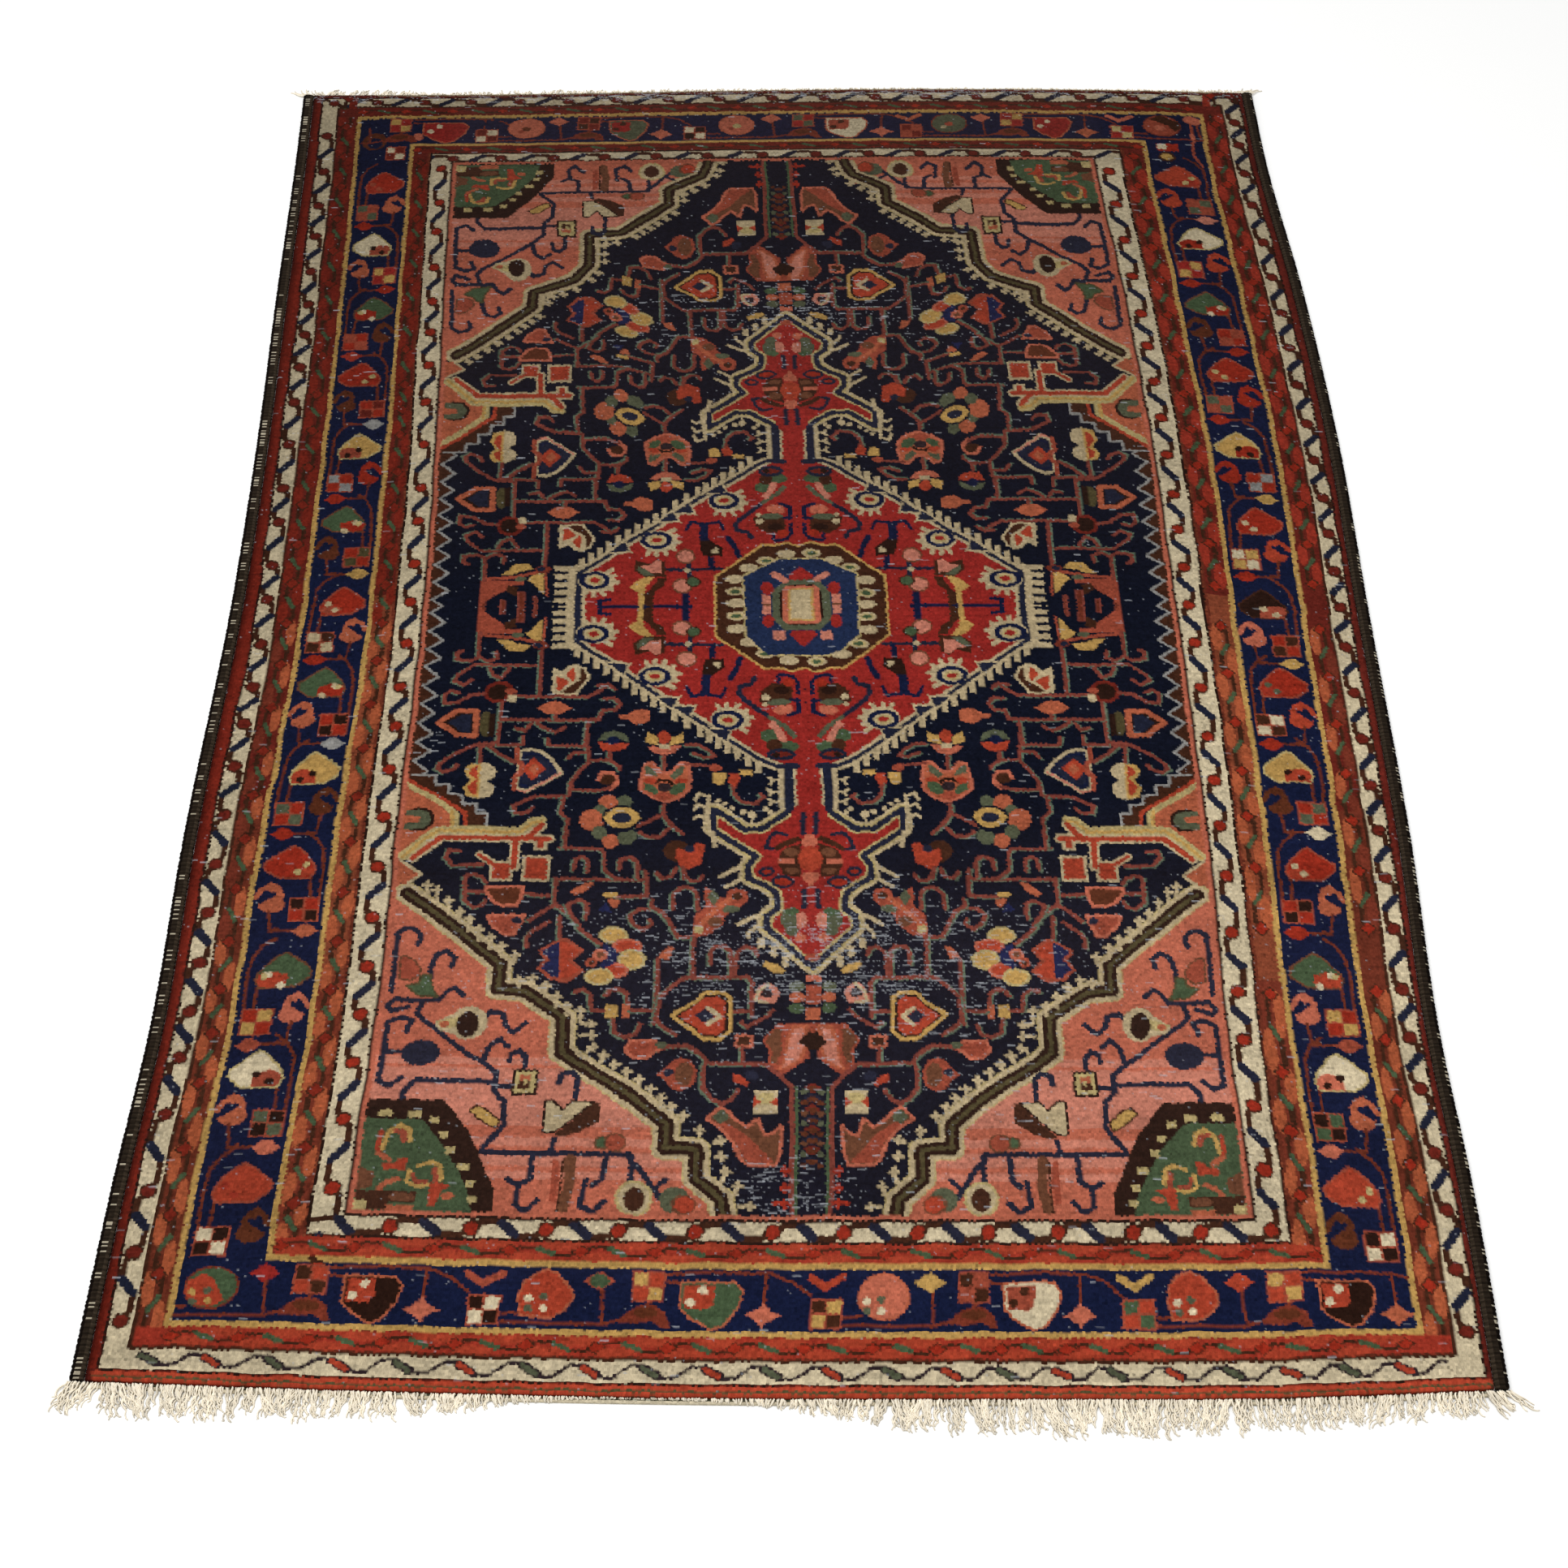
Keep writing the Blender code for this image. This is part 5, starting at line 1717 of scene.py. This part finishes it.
def tile_piece(name, points, corners, rows, columns, finish, face_down=False):
    """One tile of a grid of points and its faces' colours, from row to row and column to column.

    Its own map is the unit square, less a narrow edge. face_down turns its faces over.
    """
    tile = points[rows[0] : rows[1] + 1, columns[0] : columns[1] + 1]
    colours = corners[rows[0] : rows[1], columns[0] : columns[1]]
    high, wide = tile.shape[:2]
    down, right = np.linspace(1 - MAP_EDGE, MAP_EDGE, high), np.linspace(MAP_EDGE, 1 - MAP_EDGE, wide)
    v, u = np.meshgrid(down, right, indexing="ij")
    faces = grid_faces(high, wide)
    if face_down:
        faces = faces[:, ::-1]
        colours = colours[:, :, ::-1]
    places = np.stack([u, v], -1).reshape(-1, 2)[faces.ravel()]
    return build(name, tile.reshape(-1, 3), faces, finish, colours, places)


def pile_pieces(cells, across, along, finish):
    """The pile in four quarters, each under the size that a mesh file may have."""
    points = pile_points()
    corners = knot_corners(dyed_cells(cells, across, along))
    corners = np.pad(corners, ((2, 2), (2, 2), (0, 0), (0, 0)), mode="edge")
    half_row, half_column = KNOTS_ALONG // 2 + 2, KNOTS_ACROSS // 2 + 2
    return [
        tile_piece(f"pile_{end}_{side}", points, corners, rows, columns, finish)
        for end, rows in (("far", (0, half_row)), ("near", (half_row, KNOTS_ALONG + 4)))
        for side, columns in (("left", (0, half_column)), ("right", (half_column, KNOTS_ACROSS + 4)))
    ]


def back_pieces(cells, across, along, finish):
    """The underside in two halves: the same drawing, paler and without pile, one face for eight knots."""
    # The back takes the pile's colours, the painted shade at the long edges included.
    light = dyed_cells(cells, across, along)[::4, ::2]
    corners = knot_corners(light * 0.72 + linear(WOOL["ivory"]) * 0.16)
    s = np.linspace(-CHART_HALF_WIDTH, CHART_HALF_WIDTH, KNOTS_ACROSS // 2 + 1) / 1000
    t = np.linspace(-CHART_HALF_LENGTH, CHART_HALF_LENGTH, KNOTS_ALONG // 4 + 1) / 1000
    s, t = np.meshgrid(s, t)
    x, y = chart_to_rug(s, t)
    points = np.stack([x, y, 0.0007 + 0.0003 * ripples(s, t, 0.03, 41)], -1)
    half = KNOTS_ALONG // 8
    return [
        tile_piece(f"back_{end}", points, corners, rows, (0, KNOTS_ACROSS // 2), finish, face_down=True)
        for end, rows in (("far", (0, half)), ("near", (half, KNOTS_ALONG // 4)))
    ]


# ---- Edges and ends ----


def closed_tube(rings, sides, inside_out):
    """The faces of a tube with a cap at each end, turned over where the rings run the other way round."""
    cap = np.arange(sides)[None, :]
    groups = [grid_faces(rings, sides, closed=True), cap, cap[:, ::-1] + (rings - 1) * sides]
    if inside_out:
        groups = [group[:, ::-1] for group in groups]
    return groups


def tube_colours(sides, caps):
    """The colours of a tube's corners: four alike for each face of its side, and then the caps'."""
    return np.concatenate([sides.reshape(-1, 1, 3).repeat(4, 1).reshape(-1, 3), caps])


CORD_RINGS = 1000
CORD_SIDES = 10
WRAP_PITCH = 0.0055
RUBBED_SHARE = 0.38  # of the turns of the wrapping
# Painted shade and painted light: the wrap's outer side and top take the shaded colour, its side by the pile
# the lit one.
WRAP_SHADED = (12, 7, 5)
WRAP_LIT = (62, 52, 41)
CORD_CORE = (150, 141, 122)
CORD_END = (40, 32, 25)


def edge_cord(name, side, finish):
    """The overcast cord of one long edge, in two halves.

    Its section is a flattened ring that stands on the floor. The ring's reach swells and sinks
    once for each turn of the wrapping yarn, and the swell slants round the cord as the yarn does.
    Here and there the wrapping is rubbed through, and the pale cord inside shows.
    """
    dice = np.random.default_rng(51 if side < 0 else 52)
    v = np.linspace(-1, 1, CORD_RINGS + 1)[:, None]
    angle = np.linspace(0, 2 * math.pi, CORD_SIDES, endpoint=False)[None, :]
    turns = v * PILE_LENGTH / 2 / WRAP_PITCH + 0.18 * np.sin(v * 90) + 0.25 * np.sin(v * 31 + 1)
    swell = 1 + 0.085 * np.sin(2 * math.pi * turns + angle) + 0.03 * dice.normal(size=(CORD_RINGS + 1, 1))
    across = 0.5 + 0.46 * np.cos(angle) * np.abs(np.cos(angle)) ** -0.25 * swell
    up = 0.44 + 0.46 * np.sin(angle) * swell
    x, y = on_rug(side + 0 * v, v, CORD_WIDTH * np.clip(across, 0, 1))
    z = np.clip(up, 0.02, 1) * CORD_THICKNESS
    points = np.stack(np.broadcast_arrays(x, y, z), -1)
    # Painted light and shade on the wrap: dark over its outer side and top, light on its side by the pile,
    # and on each turn lighter on the swell than in the groove.
    outward = (np.clip(across[:-1], 0, 1) ** 3)[..., None]
    shade = linear(WRAP_SHADED) * (1 - outward) + linear(WRAP_LIT) * outward
    shade = shade / LIGHT_ON_RUG * (1 + 0.3 * np.sin(2 * math.pi * turns[:-1] + angle))[..., None]
    wrap = np.floor(turns[:-1]).astype(int)
    rubbed = dice.random(int(wrap.max() - wrap.min()) + 1)[wrap - wrap.min()]
    crown = np.abs(angle - (0.62 * math.pi if side > 0 else 0.38 * math.pi)) < 0.5
    worn = (rubbed < RUBBED_SHARE) & crown & (np.sin(2 * math.pi * turns[:-1] + angle) > 0.2)
    shade = np.where(worn[..., None], linear(CORD_CORE), shade)
    ends = linear(CORD_END) + np.zeros((2 * CORD_SIDES, 3))
    pieces = []
    for end, rows in (("near", (0, CORD_RINGS // 2)), ("far", (CORD_RINGS // 2, CORD_RINGS))):
        part = points[rows[0] : rows[1] + 1]
        faces = closed_tube(len(part), CORD_SIDES, inside_out=side > 0)
        colours = tube_colours(shade[rows[0] : rows[1]], ends)
        pieces.append(build(f"{name}_{end}", part.reshape(-1, 3), faces, finish, colours))
    return pieces


STRIP_STEPS = 660
# Columns: share of the strip's width, share of its thickness.
STRIP_SECTION = [(0.0, 0.05), (0.0, 0.75), (0.12, 1.0), (0.5, 0.92), (0.88, 1.0), (1.0, 0.7), (1.0, 0.05)]
STRIP_YARN = (186, 175, 150)
DARK_LINE = (58, 58, 44)
PALE_DASH = (150, 150, 132)
STRIP_END = 0.4  # a light grey


def woven_end(name, end, finish):
    """The narrow flat-woven strip at one end: ribs of weft side by side, a dark line next to the pile."""
    dice = np.random.default_rng(61 if end < 0 else 62)
    u = np.linspace(-1, 1, STRIP_STEPS + 1)[:, None]
    section = np.array(STRIP_SECTION)
    x, y = on_rug(u, end + 0 * u, 0.0, GAP + STRIP_WIDTH * section[None, :, 0])
    rib = 1 + 0.12 * np.sin(math.pi * np.arange(STRIP_STEPS + 1))[:, None]
    rib = rib + 0.1 * dice.normal(size=(STRIP_STEPS + 1, 1))
    z = np.clip(section[None, :, 1] * rib, 0.03, 1.1) * STRIP_THICKNESS
    points = np.stack(np.broadcast_arrays(x, y, z), -1)
    sides = len(section)
    yarn = linear(STRIP_YARN) * dice.uniform(0.75, 1.15, (STRIP_STEPS, sides, 1))
    dark = linear(DARK_LINE) * dice.uniform(0.6, 1.5, (STRIP_STEPS, 1))
    pale = linear(PALE_DASH) + np.zeros((STRIP_STEPS, 3))
    dash = (np.arange(STRIP_STEPS) // 2 % 3 == 0)[:, None] & (dice.random((STRIP_STEPS, 1)) < 0.8)
    yarn[:, 1] = dark
    yarn[:, 2] = np.where(dash, pale, dark)
    faces = closed_tube(STRIP_STEPS + 1, sides, inside_out=end < 0)
    colours = tube_colours(yarn, np.full((2 * sides, 3), STRIP_END))
    return build(name, points.reshape(-1, 3), faces, finish, colours)


THREAD_STEPS = {"fringe_near": 16, "fringe_far": 6}
TUFT_PITCH = 0.0085
COIL_PITCH = 0.011  # one turn of a thread's coil
CORNER_SPLAY = 0.022
CORNER_REACH = 0.05  # how far from a corner the threads splay
THREAD = (242, 232, 212)


def tubes(centres, radii):
    """Three-sided threads along many middle lines at once.

    A ring stands square to its line's heading over the floor: one point above it and two below,
    a third of a turn apart. Both ends are closed.
    """
    heading = np.gradient(centres, axis=1)
    heading[..., 2] = 0
    heading /= np.linalg.norm(heading, axis=-1, keepdims=True) + 1e-9
    aside = np.stack([-heading[..., 1], heading[..., 0], 0 * heading[..., 0]], -1)
    turn = np.radians([90, 210, 330])
    rings = centres[:, :, None] + radii[:, :, None, None] * (
        aside[:, :, None] * np.cos(turn)[:, None] + np.array([0, 0, 1.0]) * np.sin(turn)[:, None]
    )
    rings[..., 2] = np.maximum(rings[..., 2], 0.0001)
    count, steps = centres.shape[:2]
    one = grid_faces(steps, 3, closed=True)[:, ::-1]
    first = np.arange(count)[:, None, None] * steps * 3
    sides = (one[None] + first).reshape(-1, 4)
    caps = np.stack([np.arange(3)[::-1], np.arange(3) + (steps - 1) * 3])[None] + first
    return rings.reshape(-1, 3), [sides, caps.reshape(-1, 3)]


def fringe(name, end, column, count, seed, finish):
    """The warp ends of one end of the rug, as loose threads that lie on the floor and on each other.

    A thread leaves the edge of the pile squarely, over the strip. It gathers towards the middle of
    its tuft, coils like a corkscrew that widens towards its tip, splays near a corner, and sinks
    from its own height in the heap to the floor.
    """
    dice = np.random.default_rng(seed)
    steps = THREAD_STEPS[name]
    share = np.linspace(0, 1, steps + 1)[None, :]
    place = np.sort(dice.uniform(-RUG_WIDTH / 2, RUG_WIDTH / 2, count))[:, None]
    reach = smooth_curve(FRINGE_REACH, column, place) * dice.uniform(0.6, 1.06, (count, 1))
    reach = reach * (1 + 0.16 * ripples(place, 0 * place, 0.028, seed + 1))
    x, y = on_rug(place / (RUG_WIDTH / 2), end + 0 * place, 0.0, GAP + 0.0012)
    tuft = np.floor(place / TUFT_PITCH + 0.3 * np.sin(place * 90))
    gather = (tuft * TUFT_PITCH + TUFT_PITCH / 2 - place) * 0.3
    tuft_lean = dice.normal(0, 0.2, 400)[(tuft + 200).astype(int)]
    lean = tuft_lean + 0.15 * ripples(place, 0 * place, 0.055, seed + 2) + dice.normal(0, 0.13, (count, 1))
    near_corner = np.clip(1 - (RUG_WIDTH / 2 - np.abs(place)) / CORNER_REACH, 0, 1) ** 1.5
    splay = np.sign(place) * CORNER_SPLAY * near_corner
    phase = dice.uniform(0, 2 * math.pi, (count, 1)) + 2 * math.pi * share * reach / COIL_PITCH
    coil = np.minimum(dice.uniform(0.0006, 0.0026, (count, 1)), reach * 0.14) * share**0.4
    sideways = lean * reach * share**1.3 + gather * np.sin(share * 2.2) + coil * np.sin(phase)
    along = reach * share + coil * np.cos(phase)
    heap = dice.uniform(0.0003, 0.0030, (count, 1)) * (1 - 0.7 * share)
    over_strip = STRIP_THICKNESS * np.clip(1.2 - 3 * share * reach / STRIP_WIDTH / 4, 0, 1)
    height = over_strip + heap + 0.5 * coil * np.cos(phase + 1)
    centres = np.stack([x + sideways + splay * share, y + end * along, np.maximum(height, 0.0007)], -1)
    radii = dice.uniform(0.0009, 0.0014, (count, 1)) * (1 - 0.35 * share**2)
    points, faces = tubes(centres, radii)
    colour = linear(THREAD) * dice.uniform(0.76, 1.08, (count, 1))
    sides = colour[:, None].repeat(steps * 3 * 4, 1).reshape(-1, 3)
    caps = colour[:, None].repeat(6, 1).reshape(-1, 3)
    return build(name + "_threads", points, faces, finish, np.concatenate([sides, caps]))


# ---- Floor, light and camera ----

FLOOR_REACH = 12.0
SKY_STRENGTH = 0.71
# Columns: name, place, turn in degrees, side of the square, power.
LAMPS = [("broad_lamp", (-0.9, -0.3, 3.6), (5, -14, 0), 2.8, 109.0)]

LENS = 61.2  # millimetres, on a sensor 36 mm wide
CAMERA_PLACE = (-0.04296, -2.13071, 2.22471)
CAMERA_TURN = (40.203, -0.574, -0.479)


def floor_and_light():
    """A pale plain floor under a white sky with one broad soft lamp."""
    mesh = bpy.data.meshes.new("floor")
    corners = [(s * FLOOR_REACH, t * FLOOR_REACH, 0) for s, t in ((-1, -1), (1, -1), (1, 1), (-1, 1))]
    mesh.from_pydata(corners, [], [(0, 1, 2, 3)])
    pale = bpy.data.materials.new("pale_floor")
    pale.use_nodes = True
    nodes, links = pale.node_tree.nodes, pale.node_tree.links
    shader = nodes["Principled BSDF"]
    shader.inputs["Roughness"].default_value = 0.7
    shader.inputs["Specular IOR Level"].default_value = 0.2
    place = add(nodes, "ShaderNodeTexCoord", (-800, 0))
    cloud = add(nodes, "ShaderNodeTexNoise", (-600, 0), Scale=1.5)
    tone = add(nodes, "ShaderNodeMix", (-300, 0))
    tone.data_type = "RGBA"
    tone.inputs["A"].default_value = (0.86, 0.86, 0.85, 1)
    tone.inputs["B"].default_value = (0.88, 0.88, 0.875, 1)
    links.new(place.outputs["Object"], cloud.inputs["Vector"])
    links.new(cloud.outputs["Fac"], tone.inputs["Factor"])
    links.new(tone.outputs["Result"], shader.inputs["Base Color"])
    mesh.materials.append(pale)
    floor = bpy.data.objects.new("floor", mesh)
    bpy.context.scene.collection.objects.link(floor)

    world = bpy.data.worlds.new("studio")
    world.use_nodes = True
    sky = world.node_tree.nodes["Background"]
    sky.inputs["Color"].default_value = (1.0, 1.0, 1.0, 1)
    sky.inputs["Strength"].default_value = SKY_STRENGTH
    bpy.context.scene.world = world
    for name, place, turn, size, power in LAMPS:
        light = bpy.data.lights.new(name, "AREA")
        light.shape = "SQUARE"
        light.size = size
        light.energy = power
        lamp = bpy.data.objects.new(name, light)
        lamp.location = place
        lamp.rotation_euler = [math.radians(angle) for angle in turn]
        bpy.context.scene.collection.objects.link(lamp)


def photo_camera():
    """The camera at the photograph's place, looking down at the rug from beyond its near end."""
    data = bpy.data.cameras.new("photo_camera")
    data.lens = LENS
    data.sensor_width = 36
    camera = bpy.data.objects.new("photo_camera", data)
    camera.location = CAMERA_PLACE
    camera.rotation_euler = [math.radians(angle) for angle in CAMERA_TURN]
    bpy.context.scene.collection.objects.link(camera)
    bpy.context.scene.camera = camera


def main():
    """Dresses the solids: the pile and its back, the edge cords, the woven ends and the fringe's threads."""
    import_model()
    bpy.context.scene.view_settings.view_transform = "Standard"
    pile_wool = yarn_finish("pile_wool")
    back_wool = yarn_finish("back_wool", fibre_scale=600.0, strength=0.4)
    overcast = yarn_finish("overcast_yarn", fibre_scale=1200.0, fibre_stretch=(0.4, 1.6, 1.0), strength=0.7,
                           spread=0.3)
    cotton = yarn_finish("cotton_thread", fibre_scale=1500.0, strength=0.4, spread=0.12)

    cells, across, along = whole_chart()
    quarters = pile_pieces(cells, across, along, pile_wool)
    backs = back_pieces(cells, across, along, back_wool)
    cords = {side: edge_cord(f"overcast_{side}", way, overcast) for side, way in (("left", -1), ("right", 1))}
    strips = {"near": woven_end("woven_end_near", -1, cotton), "far": woven_end("woven_end_far", 1, cotton)}
    threads = {
        "near": fringe("fringe_near", -1, column=1, count=1300, seed=71, finish=cotton),
        "far": fringe("fringe_far", 1, column=2, count=700, seed=72, finish=cotton),
    }

    for piece in (*quarters, *backs):
        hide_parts("knotted_cloth")
    for side in ("left", "right"):
        for piece in cords[side]:
            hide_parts(f"edge_cord_{side}")
    for end in ("near", "far"):
        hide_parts(f"fringe_{end}")
        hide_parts(f"fringe_{end}")
    by_name = {piece.name: piece for piece in (*quarters, *backs, *cords["left"], *cords["right"])}
    for piece in quarters:
        end, side = piece.name.split("_")[1:]
        on_it = [by_name[f"overcast_{side}_{end}"]]
        if side == "left":
            on_it += [by_name[f"back_{end}"], strips[end], threads[end]]

    floor_and_light()
    photo_camera()


main()
